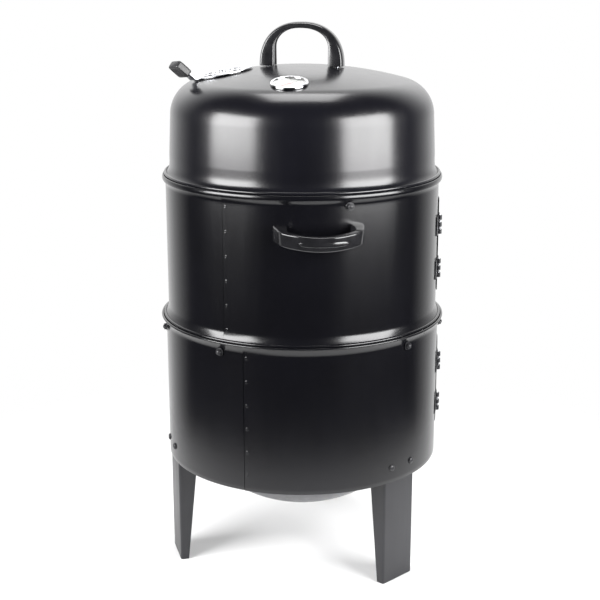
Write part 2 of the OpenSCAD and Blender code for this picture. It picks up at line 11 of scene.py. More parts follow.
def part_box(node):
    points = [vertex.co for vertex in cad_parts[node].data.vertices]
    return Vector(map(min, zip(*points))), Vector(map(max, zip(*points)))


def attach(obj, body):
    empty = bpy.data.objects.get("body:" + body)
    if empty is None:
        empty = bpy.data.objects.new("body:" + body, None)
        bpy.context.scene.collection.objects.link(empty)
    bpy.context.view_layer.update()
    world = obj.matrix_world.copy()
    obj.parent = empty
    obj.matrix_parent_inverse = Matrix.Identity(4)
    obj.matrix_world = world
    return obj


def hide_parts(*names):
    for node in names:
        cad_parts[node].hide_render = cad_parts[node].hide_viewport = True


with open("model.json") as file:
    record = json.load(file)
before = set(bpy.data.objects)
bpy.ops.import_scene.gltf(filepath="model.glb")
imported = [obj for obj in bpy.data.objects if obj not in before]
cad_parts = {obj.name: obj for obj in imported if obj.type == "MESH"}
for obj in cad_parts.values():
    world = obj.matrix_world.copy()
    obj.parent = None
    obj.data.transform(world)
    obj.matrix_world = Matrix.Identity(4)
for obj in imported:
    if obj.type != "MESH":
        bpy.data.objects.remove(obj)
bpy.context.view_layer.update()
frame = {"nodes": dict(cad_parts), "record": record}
MM = 0.001

# ---------------------------------------------------------------- places read from the frame

JOINTS = {joint["name"]: joint for joint in frame["record"]["behaviour"]["joints"]}


def joint_place(name):
    """(position, axis) of a hinge joint."""
    joint = JOINTS[name]
    return Vector(joint["pos_m"]), Vector(joint["axis"]).normalized()


def box_z(node):
    low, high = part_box(node)
    return low[2], high[2]


SHEET = 1.2 * MM
ROLL_R = 1.8 * MM
BEAD_R = 2.2 * MM
LIP_OUT = 5.2 * MM
FLARE_H = 13.2 * MM
LOWER_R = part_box("lower_barrel")[1][0] - LIP_OUT - ROLL_R
UPPER_R = LOWER_R - 3.5 * MM
LOWER_BASE_Z, JOINT_Z = box_z("lower_barrel")
UPPER_FOOT_Z, MOUTH_Z = box_z("upper_barrel")
JOINT_ROLL_Z = JOINT_Z - ROLL_R
MOUTH_ROLL_Z = MOUTH_Z - ROLL_R
FOOT_BEAD_Z = UPPER_FOOT_Z + BEAD_R
FOOT_OUT = 4.8 * MM
HEM_HALF_H = 4.0 * MM
MOUTH_OUT = LIP_OUT - 2.3 * MM
DOOR_SPAN = 55.0
DOOR_EDGE_TURN = 1.5
OPENING_TURN = 3.5
OPENING_MARGIN = 10 * MM

LID_R = 190 * MM
LID_TOP_R = 187.5 * MM
LID_BEAD_R = UPPER_R - 0.3 * MM
LID_BEAD_SIZE = 2.4 * MM
LID_BEAD_Z = box_z("lid_shell")[0] + LID_BEAD_SIZE
LID_FLARE_TOP_Z = MOUTH_Z + 29 * MM
LID_FLARE_POWER = 5.5
SHOULDER_Z = MOUTH_Z + 83 * MM
SHOULDER_R = 50 * MM
SHOULDER_TURN = 75.0
SHOULDER_CX = LID_TOP_R - SHOULDER_R
JOIN_R = SHOULDER_CX + SHOULDER_R * math.cos(math.radians(SHOULDER_TURN))
CROWN_R = JOIN_R / math.cos(math.radians(SHOULDER_TURN))
CROWN_CZ = SHOULDER_Z + (SHOULDER_R - CROWN_R) * math.sin(math.radians(SHOULDER_TURN))


# ---------------------------------------------------------------- small geometry helpers


def out_dir(azimuth):
    a = math.radians(azimuth)
    return Vector((math.sin(a), -math.cos(a), 0))


def azimuth_of(point):
    return math.degrees(math.atan2(point[0], -point[1]))


def wall_frame(azimuth, radius, z):
    """Local +Z points out of the wall, local +Y up, local +X to the right as seen from outside."""
    out = out_dir(azimuth)
    up = Vector((0, 0, 1))
    right = up.cross(out)
    matrix = Matrix((right, up, out)).transposed().to_4x4()
    matrix.translation = out * radius + up * z
    return matrix


def crown_frame(azimuth, radius):
    """Local +Z along the lid's normal, local -Y outwards down the slope."""
    tilt = math.asin(radius / CROWN_R)
    place = Matrix.Translation((0, -radius, CROWN_CZ + CROWN_R * math.cos(tilt)))
    return Matrix.Rotation(math.radians(azimuth), 4, "Z") @ place @ Matrix.Rotation(tilt, 4, "X")


def arc(cx, cz, radius, start, stop, steps):
    points = []
    for i in range(steps + 1):
        a = math.radians(start + (stop - start) * i / steps)
        points.append((cx + radius * math.cos(a), cz + radius * math.sin(a)))
    return points


def flare(wall_r, out, from_z, to_z, steps=10):
    """A sheet edge bending outwards from wall_r to wall_r + out between two heights."""
    points = []
    for i in range(steps + 1):
        t = i / steps
        points.append((wall_r + out * (1 - math.cos(math.pi / 2 * t)), from_z + (to_z - from_z) * t))
    return points


def smoothstep(low, high, value):
    t = min(max((value - low) / (high - low), 0), 1)
    return t * t * (3 - 2 * t)


def add_piece(name, mesh, material, body, slot, *nodes, smooth=35.0):
    """Puts a mesh in the scene as a piece of a body, standing for the CAD nodes named."""
    for polygon in mesh.polygons:
        polygon.use_smooth = True
    mesh.set_sharp_from_angle(angle=math.radians(smooth))
    piece = bpy.data.objects.new(name, mesh)
    bpy.context.scene.collection.objects.link(piece)
    mesh.materials.append(material)
    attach(piece, body)
    if nodes:
        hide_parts(*nodes)
    return piece


def mesh_from(bm, name):
    bmesh.ops.recalc_face_normals(bm, faces=bm.faces)
    mesh = bpy.data.meshes.new(name)
    bm.to_mesh(mesh)
    bm.free()
    return mesh


def bevel(piece, width, segments=2, angle=35.0):
    modifier = piece.modifiers.new("edges", "BEVEL")
    modifier.width = width
    modifier.segments = segments
    modifier.limit_method = "ANGLE"
    modifier.angle_limit = math.radians(angle)
    modifier.harden_normals = True
    return modifier


def revolve_open(bm, section, matrix=Matrix(), steps=48, closed_section=True):
    """Turns a section of (radius, height) points round local Z. Points at radius 0 become poles."""
    rings = []
    for radius, height in section:
        if radius < 1e-7:
            rings.append([bm.verts.new(matrix @ Vector((0, 0, height)))])
            continue
        ring = []
        for j in range(steps):
            a = 2 * math.pi * j / steps
            ring.append(bm.verts.new(matrix @ Vector((radius * math.cos(a), radius * math.sin(a), height))))
        rings.append(ring)
    pairs = len(rings) if closed_section else len(rings) - 1
    for i in range(pairs):
        low, high = rings[i], rings[(i + 1) % len(rings)]
        if len(low) == 1 and len(high) == 1:
            continue
        for j in range(steps):
            k = (j + 1) % steps
            corners = [low[j % len(low)], low[k % len(low)], high[k % len(high)], high[j % len(high)]]
            unique = []
            for corner in corners:
                if corner not in unique:
                    unique.append(corner)
            bm.faces.new(unique)


def loft(bm, sections, closed=False):
    """Joins loops of points into a tube, with flat ends unless it is closed on itself."""
    loops = [[bm.verts.new(p) for p in section] for section in sections]
    count = len(loops[0])
    pairs = len(loops) if closed else len(loops) - 1
    for i in range(pairs):
        a, b = loops[i], loops[(i + 1) % len(loops)]
        for j in range(count):
            k = (j + 1) % count
            bm.faces.new((a[j], a[k], b[k], b[j]))
    if not closed:
        bm.faces.new(loops[0][::-1])
        bm.faces.new(loops[-1])


def tube_along(bm, points, radius, sides=12, closed=False):
    """A round rod along a line of points."""
    sections = []
    count = len(points)
    for i, point in enumerate(points):
        before = points[i - 1] if (i > 0 or closed) else points[i]
        after = points[(i + 1) % count] if (i < count - 1 or closed) else points[i]
        tangent = (Vector(after) - Vector(before)).normalized()
        up = Vector((0, 0, 1)) if abs(tangent.z) < 0.9 else Vector((1, 0, 0))
        side = tangent.cross(up).normalized()
        rise = side.cross(tangent)
        loop = []
        for j in range(sides):
            a = 2 * math.pi * j / sides
            loop.append(Vector(point) + side * radius * math.cos(a) + rise * radius * math.sin(a))
        sections.append(loop)
    loft(bm, sections, closed)


def rounded_outline(width, height, radius, steps=4):
    """Corners of a rectangle centred on the origin, rounded, counter-clockwise."""
    points = []
    for cx, cy, start in ((1, 1, 0), (-1, 1, 90), (-1, -1, 180), (1, -1, 270)):
        x, y = cx * (width / 2 - radius), cy * (height / 2 - radius)
        points += arc(x, y, radius, start, start + 90, steps)
    return points


def slab(bm, matrix, outline, low, high, edge=0.0, steps=3):
    """An outline raised from low to high along local Z, with rounded edges of that radius."""
    centre = Vector((sum(p[0] for p in outline), sum(p[1] for p in outline))) / len(outline)
    levels = [(low, 0), (high, 0)]
    if edge > 0:
        turns = [math.pi / 2 * i / steps for i in range(steps + 1)]
        bottom = [(low + edge * (1 - math.cos(a)), edge * (1 - math.sin(a))) for a in turns]
        levels = bottom + [(high + low - z, inset) for z, inset in reversed(bottom)]
    sections = []
    for z, inset in levels:
        loop = []
        for x, y in outline:
            away = Vector((x, y)) - centre
            length = max(away.length, 1e-9)
            pulled = centre + away * max(length - inset, 0) / length
            loop.append(matrix @ Vector((pulled.x, pulled.y, z)))
        sections.append(loop)
    loft(bm, sections)


# ---------------------------------------------------------------- materials


# Sockets of a colour mix, whose names the float sockets share
MIX_A = 6
MIX_B = 7
MIX_RESULT = 2


class Nodes:
    """A small builder for one material's node tree."""

    def __init__(self, name):
        self.material = bpy.data.materials.new(name)
        self.material.use_nodes = True
        self.tree = self.material.node_tree
        self.shader = self.tree.nodes["Principled BSDF"]
        coords = self.tree.nodes.new("ShaderNodeTexCoord")
        self.object = coords.outputs["Object"]

    def node(self, kind, **inputs):
        made = self.tree.nodes.new(kind)
        for key, value in inputs.items():
            made.inputs[key.replace("_", " ")].default_value = value
        return made

    def link(self, output, socket):
        self.tree.links.new(output, socket)

    def noise(self, scale, detail=4.0, roughness=0.55, stretch=None):
        made = self.node("ShaderNodeTexNoise", Scale=scale, Detail=detail, Roughness=roughness)
        source = self.object
        if stretch:
            mapping = self.node("ShaderNodeMapping")
            mapping.inputs["Scale"].default_value = stretch
            self.link(source, mapping.inputs["Vector"])
            source = mapping.outputs["Vector"]
        self.link(source, made.inputs["Vector"])
        return made.outputs["Fac"]

    def spread(self, value, low, high, out_low, out_high):
        made = self.node("ShaderNodeMapRange")
        for key, number in zip(("From Min", "From Max", "To Min", "To Max"), (low, high, out_low, out_high)):
            made.inputs[key].default_value = number
        self.link(value, made.inputs["Value"])
        return made.outputs["Result"]

    def mix(self, factor, first, second):
        made = self.tree.nodes.new("ShaderNodeMix")
        made.data_type = "RGBA"
        if isinstance(first, tuple):
            made.inputs[MIX_A].default_value = (*first, 1)
        else:
            self.link(first, made.inputs[MIX_A])
        made.inputs[MIX_B].default_value = (*second, 1)
        self.link(factor, made.inputs[0])
        return made.outputs[MIX_RESULT]

    def bump(self, height, strength, distance, normal=None):
        made = self.node("ShaderNodeBump", Strength=strength, Distance=distance)
        self.link(height, made.inputs["Height"])
        if normal:
            self.link(normal, made.inputs["Normal"])
        return made.outputs["Normal"]

    def finish(self, color=None, roughness=None, normal=None, **fixed):
        if color is not None:
            self.link(color, self.shader.inputs["Base Color"])
        if roughness is not None:
            self.link(roughness, self.shader.inputs["Roughness"])
        if normal is not None:
            self.link(normal, self.shader.inputs["Normal"])
        for key, value in fixed.items():
            self.shader.inputs[key.replace("_", " ")].default_value = value
        return self.material


def enamel(name, color, dusty, rough_low, rough_high, specks, **fixed):
    """Baked black enamel: faint orange peel, patches of different gloss and a little pale dust."""
    n = Nodes(name)
    patches = n.noise(9, 3)
    fine = n.noise(260, 2, 0.5)
    dust = n.noise(900, 2, 0.4)
    scuffs = n.noise(60, 5, 0.7, stretch=(1, 1, 0.12))
    speck = n.spread(dust, 0.70, 0.78, 0, specks)
    base = n.mix(n.spread(patches, 0.35, 0.7, 0, 1), color, tuple(1.5 * c for c in color))
    tinted = n.mix(speck, base, dusty)
    rough = n.spread(scuffs, 0.35, 0.75, rough_low, rough_high)
    peel = n.bump(fine, 0.05, 0.0004)
    return n.finish(tinted, rough, peel, **fixed)


def bare_metal(name, color, dull, rough_low, rough_high, stretch, grain=0.15):
    """Plated or polished steel with a fine drawn grain and dull patches."""
    n = Nodes(name)
    patches = n.noise(45, 4)
    lines = n.noise(700, 3, 0.6, stretch=stretch)
    tinted = n.mix(n.spread(patches, 0.4, 0.7, 0, 1), color, dull)
    rough = n.spread(lines, 0.3, 0.7, rough_low, rough_high)
    scratches = n.bump(lines, grain, 0.0002)
    return n.finish(tinted, rough, scratches, Metallic=1.0)


def moulded_plastic(name, color, rough_low, rough_high, **fixed):
    """Hard black moulded plastic with faint flow marks."""
    n = Nodes(name)
    flow = n.noise(35, 4, 0.6)
    fine = n.noise(1400, 2, 0.5)
    tinted = n.mix(n.spread(flow, 0.35, 0.7, 0, 1), color, tuple(1.8 * c for c in color))
    rough = n.spread(flow, 0.3, 0.7, rough_low, rough_high)
    skin = n.bump(fine, 0.04, 0.0002)
    return n.finish(tinted, rough, skin, **fixed)


GLOSS = enamel("black_gloss_enamel", (0.0030, 0.0030, 0.0046), (0.12, 0.12, 0.12), 0.235, 0.265, 0.06,
               Coat_Weight=0.15, Coat_Roughness=0.16)
SATIN = enamel("black_satin_enamel", (0.0024, 0.0024, 0.0034), (0.14, 0.14, 0.14), 0.19, 0.22, 0.10)
HARDWARE = enamel("black_hardware", (0.010, 0.010, 0.012), (0.10, 0.10, 0.10), 0.32, 0.46, 0.25)
GREY = enamel("grey_enamel", (0.060, 0.060, 0.066), (0.20, 0.20, 0.20), 0.28, 0.42, 0.3)
WIRE = bare_metal("chromed_wire", (0.72, 0.72, 0.73), (0.55, 0.55, 0.55), 0.12, 0.24, (1, 1, 1))
ZINC = bare_metal("zinc_plated_steel", (0.70, 0.71, 0.73), (0.55, 0.56, 0.60), 0.22, 0.38, (1, 0.08, 1))
POLISHED = bare_metal("polished_steel", (0.80, 0.80, 0.81), (0.70, 0.70, 0.71), 0.08, 0.16, (1, 1, 1), 0.05)
HANDLE = moulded_plastic("black_handle_plastic", (0.008, 0.008, 0.009), 0.12, 0.24,
                         Coat_Weight=0.3, Coat_Roughness=0.1)
GRIP = moulded_plastic("black_grip_plastic", (0.012, 0.012, 0.013), 0.30, 0.45)


def dial_material():
    n = Nodes("dial_white")
    paper = n.noise(300, 3)
    tinted = n.mix(n.spread(paper, 0.3, 0.7, 0, 1), (0.80, 0.80, 0.77), (0.74, 0.74, 0.72))
    return n.finish(tinted, n.spread(paper, 0.3, 0.7, 0.45, 0.6))


def dial_ink():
    n = Nodes("dial_ink")
    blotch = n.noise(500, 2)
    tinted = n.mix(n.spread(blotch, 0.3, 0.7, 0, 1), (0.02, 0.02, 0.02), (0.05, 0.05, 0.05))
    return n.finish(tinted, n.spread(blotch, 0.3, 0.7, 0.5, 0.6))


def needle_material():
    n = Nodes("needle_red")
    blotch = n.noise(400, 2)
    tinted = n.mix(n.spread(blotch, 0.3, 0.7, 0, 1), (0.50, 0.03, 0.02), (0.42, 0.025, 0.02))
    return n.finish(tinted, n.spread(blotch, 0.3, 0.7, 0.35, 0.5))


def glass_material():
    n = Nodes("clear_glass")
    smear = n.noise(40, 3)
    return n.finish(None, n.spread(smear, 0.4, 0.8, 0.02, 0.08), None,
                    Base_Color=(1, 1, 1, 1), Transmission_Weight=1.0, IOR=1.45)


DIAL = dial_material()
INK = dial_ink()
RED = needle_material()
GLASS = glass_material()

# ---------------------------------------------------------------- barrels

LAP_STEP = 0.9 * MM
LAP_FADE = 22.0
LOWER_LAP = -23.3
UPPER_LAP = -32.4
WELD_TURN = 1.2
GROOVE_TURN = 0.35
GROOVE_DEPTH = 0.7 * MM
WELD_SPACING = 34 * MM
COLUMN_TURN = 1.5


def sheet_section(outer):
    """A closed section: a line of outer (radius, height) points, and the same line one sheet in."""
    return outer + [(r - SHEET, z) for r, z in reversed(outer)]


def lower_section_line():
    lip = flare(LOWER_R, LIP_OUT, JOINT_ROLL_Z - FLARE_H, JOINT_ROLL_Z)
    base = LOWER_BASE_Z
    edge = 0.5 * MM
    outer = [(LOWER_R - edge, base), (LOWER_R - 0.15 * MM, base + 0.15 * MM), (LOWER_R, base + edge)]
    walls = [(LOWER_R, z) for z in wall_heights(base, "lower_door", lip[0][1])]
    roll = arc(LOWER_R + LIP_OUT, JOINT_ROLL_Z, ROLL_R, -118, 196, 18)
    inner = [(r - SHEET, z) for r, z in reversed(lip[:-1])]
    inner_walls = [(r - SHEET, z) for r, z in reversed(walls)]
    return outer + walls + lip[:-1] + roll + inner + inner_walls + [(LOWER_R - SHEET, base + edge),
                                                                  (LOWER_R - SHEET + edge, base)]


def wall_heights(low, door, high):
    """Heights of the wall's rows, with rows exactly at the door opening's edges."""
    door_low, door_high = box_z(door)
    edges = [low + 6 * MM, door_low + OPENING_MARGIN, door_high - OPENING_MARGIN, high - 3 * MM]
    rows = []
    for a, b in zip(edges, edges[1:]):
        steps = max(1, round((b - a) / (20 * MM)))
        rows += [a + (b - a) * i / steps for i in range(steps)]
    return rows + [edges[-1]]


def upper_section_line():
    foot = flare(UPPER_R, FOOT_OUT, FOOT_BEAD_Z + FLARE_H, FOOT_BEAD_Z)[::-1]
    hem_z = MOUTH_Z - HEM_HALF_H
    lip = flare(UPPER_R, MOUTH_OUT, MOUTH_ROLL_Z - FLARE_H, hem_z - HEM_HALF_H + 0.4 * MM)
    walls = [(UPPER_R, z) for z in wall_heights(foot[-1][1], "upper_door", lip[0][1])]
    outer = foot[1:] + walls + lip[:-1]
    roll = [(r, hem_z + (z - hem_z) * HEM_HALF_H / ROLL_R)
            for r, z in arc(UPPER_R + MOUTH_OUT, hem_z, ROLL_R, -96, 186, 24)]
    bead = arc(UPPER_R + FOOT_OUT, FOOT_BEAD_Z, BEAD_R, 166, 472, 20)
    inner = [(r - SHEET, z) for r, z in reversed(outer)]
    return bead + outer + roll + inner


def barrel_columns(lap, hole):
    """Azimuths of the wall's columns from lap round to lap, with columns at the opening's edges."""
    marks = [lap, hole[0], hole[1], lap + 360 - GROOVE_TURN]
    columns = []
    for a, b in zip(marks, marks[1:]):
        steps = max(1, round((b - a) / COLUMN_TURN))
        columns += [a + (b - a) * i / steps for i in range(steps)]
    return columns + [marks[-1], lap + 360 - 0.7 * GROOVE_TURN, lap + 359.97]


def marks_end(lap):
    """The azimuth past which the wall dips into the dark gap beside the lap."""
    return lap + 360 - 0.9 * GROOVE_TURN


def barrel_mesh(name, line, lap, hole, opening, wall_r, fade_low, fade_high):
    """A rolled and lapped barrel with a door opening cut through both skins."""
    columns = barrel_columns(lap, hole)
    bm = bmesh.new()
    grid = []
    for azimuth in columns:
        lift = LAP_STEP * (1 - smoothstep(0, LAP_FADE, azimuth - lap))
        if azimuth > marks_end(lap):
            lift = -GROOVE_DEPTH
        out = out_dir(azimuth)
        ring = []
        for r, z in line:
            fade = smoothstep(fade_low, fade_low + 8 * MM, z) * (1 - smoothstep(fade_high - 8 * MM, fade_high, z))
            ring.append(bm.verts.new(out * (r + lift * fade) + Vector((0, 0, z))))
        grid.append(ring)
    count = len(line)

    def in_hole(i, j):
        z0, z1 = line[i][1], line[(i + 1) % count][1]
        middle = (z0 + z1) / 2
        azimuth = (columns[j] + columns[(j + 1) % len(columns)]) / 2
        if j == len(columns) - 1:
            return False
        return hole[0] < azimuth < hole[1] and opening[0] < middle < opening[1] and abs(z1 - z0) > 0.2 * MM

    for j in range(len(columns)):
        a, b = grid[j], grid[(j + 1) % len(columns)]
        for i in range(count):
            if not in_hole(i, j):
                bm.faces.new((a[i], b[i], b[(i + 1) % count], a[(i + 1) % count]))
    close_opening(bm, line, columns, grid, hole, opening)
    bmesh.ops.recalc_face_normals(bm, faces=bm.faces)
    add_welds(bm, lap + WELD_TURN, wall_r + LAP_STEP, max(fade_low, line[0][1]), fade_high)
    mesh = bpy.data.meshes.new(name)
    bm.to_mesh(mesh)
    bm.free()
    return mesh


def close_opening(bm, line, columns, grid, hole, opening):
    """Joins the outer and inner skins round the door opening's four edges."""
    near = 0.01 * MM
    rows = {}
    for i, (r, z) in enumerate(line):
        if opening[0] - near < z < opening[1] + near:
            rows.setdefault(round(z, 6), []).append((r, i))
    heights = sorted(rows)
    pairs = [(max(rows[z])[1], min(rows[z])[1]) for z in heights]
    cut = [j for j, a in enumerate(columns) if hole[0] - 1e-6 <= a <= hole[1] + 1e-6]
    for outer, inner in (pairs[0], pairs[-1]):
        for j, k in zip(cut, cut[1:]):
            bm.faces.new((grid[j][outer], grid[k][outer], grid[k][inner], grid[j][inner]))
    for j in (cut[0], cut[-1]):
        for low, high in zip(pairs, pairs[1:]):
            bm.faces.new((grid[j][low[0]], grid[j][high[0]], grid[j][high[1]], grid[j][low[1]]))


def add_welds(bm, azimuth, radius, low, high):
    """Spot welds beside the lap: shallow discs with a sunk middle."""
    z = high - 14 * MM
    while z > low + 8 * MM:
        section = [(0, 0.02 * MM), (0.9 * MM, 0.05 * MM), (1.5 * MM, 0.22 * MM), (2.1 * MM, 0.20 * MM),
                   (2.6 * MM, -0.1 * MM), (0, -0.1 * MM)]
        revolve_open(bm, section, wall_frame(azimuth, radius, z), steps=16, closed_section=False)
        z -= WELD_SPACING


def build_barrels():
    for name, body, line, lap, door, hinge in (
            ("lower_barrel", "lower_section", lower_section_line(), LOWER_LAP, "lower_door", "lower_door_swing"),
            ("upper_barrel", "upper_section", upper_section_line(), UPPER_LAP, "upper_door", "upper_door_swing")):
        start = azimuth_of(joint_place(hinge)[0]) + DOOR_EDGE_TURN + OPENING_TURN
        hole = (start, start + DOOR_SPAN - 2 * OPENING_TURN)
        door_low, door_high = box_z(door)
        opening = (door_low + OPENING_MARGIN, door_high - OPENING_MARGIN)
        if name == "lower_barrel":
            wall_r, low, high = LOWER_R, LOWER_BASE_Z - 20 * MM, JOINT_ROLL_Z - 4 * MM
        else:
            wall_r, low, high = UPPER_R, FOOT_BEAD_Z + 3 * MM, MOUTH_ROLL_Z - 4 * MM
        mesh = barrel_mesh(name + "_shell", line, lap, hole, opening, wall_r, low, high)
        add_piece(name + "_shell", mesh, SATIN, body, "black_satin_enamel", name)


# ---------------------------------------------------------------- lid


def lid_section():
    lip = []
    for i in range(25):
        t = i / 24
        lip.append((LID_R + (LID_BEAD_R - LID_R) * t ** LID_FLARE_POWER,
                    LID_FLARE_TOP_Z + (LID_BEAD_Z - LID_FLARE_TOP_Z) * t))
    lip_inner = [(r - SHEET, z) for r, z in lip]
    bead = arc(LID_BEAD_R, LID_BEAD_Z, LID_BEAD_SIZE, 160, 460, 20)
    shoulder = arc(SHOULDER_CX, SHOULDER_Z, SHOULDER_R, 0, SHOULDER_TURN, 30)
    crown = arc(0, CROWN_CZ, CROWN_R, SHOULDER_TURN + 0.75, 90, 22)
    shoulder_in = arc(SHOULDER_CX, SHOULDER_Z, SHOULDER_R - SHEET, SHOULDER_TURN, 0, 30)
    crown_in = arc(0, CROWN_CZ, CROWN_R - SHEET, 90, SHOULDER_TURN + 0.75, 22)
    crown[-1] = (0, crown[-1][1])
    crown_in[0] = (0, crown_in[0][1])
    return bead + lip[::-1][1:] + shoulder + crown + crown_in + shoulder_in + lip_inner[:-1]


def punch(mesh, cutters):
    """The mesh with closed cutter meshes taken out of it."""
    target = bpy.data.objects.new("punched", mesh)
    bpy.context.scene.collection.objects.link(target)
    tool = bpy.data.objects.new("cutter", cutters)
    bpy.context.scene.collection.objects.link(tool)
    modifier = target.modifiers.new("holes", "BOOLEAN")
    modifier.operation = "DIFFERENCE"
    modifier.solver = "EXACT"
    modifier.object = tool
    bpy.context.view_layer.update()
    graph = bpy.context.evaluated_depsgraph_get()
    cut = bpy.data.meshes.new_from_object(target.evaluated_get(graph))
    bpy.data.objects.remove(target)
    bpy.data.objects.remove(tool)
    return cut


CASE_HOLE_R = 22.4 * MM
VENT_R = 9 * MM
VENT_AT = 25 * MM
VENTS = 4
DAMPER_AXIS = joint_place("damper_turn")
DAMPER_FRAME = crown_frame(azimuth_of(DAMPER_AXIS[0]), math.hypot(DAMPER_AXIS[0].x, DAMPER_AXIS[0].y))
GAUGE_AXIS = joint_place("gauge_needle_turn")
GAUGE_FRAME = crown_frame(azimuth_of(GAUGE_AXIS[0]), math.hypot(GAUGE_AXIS[0].x, GAUGE_AXIS[0].y))


def vent_cutters():
    bm = bmesh.new()
    for i in range(VENTS):
        turn = Matrix.Rotation(math.radians(45 + 90 * i), 4, "Z")
        place = DAMPER_FRAME @ turn @ Matrix.Translation((VENT_AT, 0, 0))
        section = [(0, -8 * MM), (VENT_R, -8 * MM), (VENT_R, 8 * MM), (0, 8 * MM)]
        revolve_open(bm, section, place, steps=40, closed_section=False)
    section = [(0, -12 * MM), (CASE_HOLE_R, -12 * MM), (CASE_HOLE_R, 8 * MM), (0, 8 * MM)]
    revolve_open(bm, section, GAUGE_FRAME, steps=96, closed_section=False)
    return mesh_from(bm, "vent_cutters")


def build_lid():
    bm = bmesh.new()
    revolve_open(bm, lid_section(), steps=224, closed_section=True)
    shell = punch(mesh_from(bm, "lid_plain"), vent_cutters())
    add_piece("lid_dome", shell, GLOSS, "lid", "black_gloss_enamel", "lid_shell", smooth=40)


# ---------------------------------------------------------------- lid handle

LID_HANDLE_W = 121 * MM
LID_HANDLE_LOW, LID_HANDLE_TOP = box_z("lid_handle")
LID_HANDLE_H = LID_HANDLE_TOP - LID_HANDLE_LOW
LID_HANDLE_TURN = -12.0
LID_HANDLE_FOOT_D = 25 * MM
LID_HANDLE_TOP_D = 19 * MM


def superellipse(a, b, power, t):
    c, s = math.cos(t), math.sin(t)
    return (math.copysign(abs(c) ** (2 / power), c) * a, b * abs(s) ** (2 / power))


def arch_pair(t):
    """Outer and inner points of the arch at t, from 0 at the right foot to 1 at the left foot."""
    angle = math.pi * t
    outer = superellipse(LID_HANDLE_W / 2, LID_HANDLE_H, 2.3, angle)
    half = LID_HANDLE_W / 2 - 21.5 * MM
    straight = LID_HANDLE_H - 36.7 * MM
    foot = 0.16
    if t < foot:
        inner = (half, straight * t / foot)
    elif t > 1 - foot:
        inner = (-half, straight * (1 - t) / foot)
    else:
        x, z = superellipse(half, 28 * MM, 2.2, math.pi * (t - foot) / (1 - 2 * foot))
        inner = (x, z + straight)
    return Vector(outer), Vector(inner)


def build_lid_handle():
    turn = Matrix.Rotation(math.radians(LID_HANDLE_TURN), 4, "Z")
    steps = 72
    sections = []
    for i in range(steps + 1):
        t = i / steps
        outer, inner = arch_pair(t)
        depth = LID_HANDLE_TOP_D + (LID_HANDLE_FOOT_D - LID_HANDLE_TOP_D) * abs(2 * t - 1) ** 2
        across = outer - inner
        thick = across.length
        along = across / thick
        loop = []
        for x, y in handle_profile(thick, depth):
            point = (outer + inner) / 2 + along * x
            loop.append(turn @ Vector((point.x, y, LID_HANDLE_LOW + point.y)))
        sections.append(loop)
    bm = bmesh.new()
    loft(bm, sections)
    piece = add_piece("lid_handle_arch", mesh_from(bm, "lid_handle_arch"), HANDLE, "lid",
                      "black_handle_plastic", "lid_handle", smooth=50)
    bevel(piece, 0.6 * MM, 2, 50)


def handle_profile(thick, depth):
    """The arch's cross-section: a crowned outer face, and an inner face with a channel along it."""
    crown = min(1.6 * MM, thick * 0.2)
    corner = min(2.4 * MM, thick * 0.25)
    channel = 1.3 * MM
    x0, x1, y1 = -thick / 2, thick / 2 - crown, depth / 2
    points = arc(x1 - corner, -y1 + corner, corner, -90, -15, 4)
    points += [(x1 + crown * math.cos(a), math.sin(a) * (y1 - corner)) for a in
               (-1.05, -0.7, -0.35, 0, 0.35, 0.7, 1.05)]
    points += arc(x1 - corner, y1 - corner, corner, 15, 90, 4)
    points += arc(x0 + corner * 0.7, y1 - corner * 0.7, corner * 0.7, 90, 180, 3)
    lip = y1 * 0.62
    points += [(x0, lip), (x0 + channel * 0.3, lip - 0.6 * MM), (x0 + channel, lip - 1.8 * MM),
               (x0 + channel, 1.8 * MM - lip), (x0 + channel * 0.3, 0.6 * MM - lip), (x0, -lip)]
    points += arc(x0 + corner * 0.7, -y1 + corner * 0.7, corner * 0.7, 180, 270, 3)
    return points


# ---------------------------------------------------------------- side handles

SIDE_HANDLE_TURN = 6.5
SIDE_LOW, SIDE_HIGH = box_z("front_handle")
SIDE_HALF_W = 60 * MM
SIDE_FOOT_W = 18 * MM
BOW_R = 72.5 * MM
BOW_T = 11 * MM
FACE_LEAN = 0.14
BOW_OUT = -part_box("front_handle")[0][1]


def side_handle_path():
    """Centre line from the left root round the bow to the right root: (x, y, width across, height, low z)."""
    bow_y = -UPPER_R - 53.5 * MM + BOW_R
    mid_r = BOW_R - BOW_T / 2
    root_x = SIDE_HALF_W - SIDE_FOOT_W / 2
    rows = []
    full = SIDE_HIGH - SIDE_LOW
    root_y = -math.sqrt(UPPER_R ** 2 - SIDE_HALF_W ** 2) - 0.3 * MM
    arm_y = -UPPER_R - 17 * MM
    for i in range(9):
        t = i / 8
        y = root_y + (arm_y - root_y) * t
        width = SIDE_FOOT_W + (BOW_T + 1.5 * MM - SIDE_FOOT_W) * smoothstep(0.15, 1, t)
        x = -(SIDE_HALF_W - width / 2) + 3.0 * MM * smoothstep(0.3, 1, t)
        rows.append((x, y, width, t * 0.5))
    corner = rows[-1]
    start = -44.0
    for i in range(6):
        t = (i + 1) / 7
        end_x, end_y = mid_r * math.sin(math.radians(start)), bow_y - mid_r * math.cos(math.radians(start))
        x = corner[0] + (end_x - corner[0]) * smoothstep(0, 1, t) * 0.75 + (end_x - corner[0]) * 0.25 * t
        y = corner[1] + (end_y - corner[1]) * math.sin(math.pi / 2 * t)
        rows.append((x, y, BOW_T + 1.5 * MM * (1 - t), 0.5 + 0.2 * t))
    for i in range(22):
        t = i / 21
        a = start * (1 - t)
        rows.append((mid_r * math.sin(math.radians(a)), bow_y - mid_r * math.cos(math.radians(a)), BOW_T,
                     0.7 + 0.3 * t))
    mirrored = [(-x, y, w, k) for x, y, w, k in rows[-2::-1]]
    return rows + mirrored, full


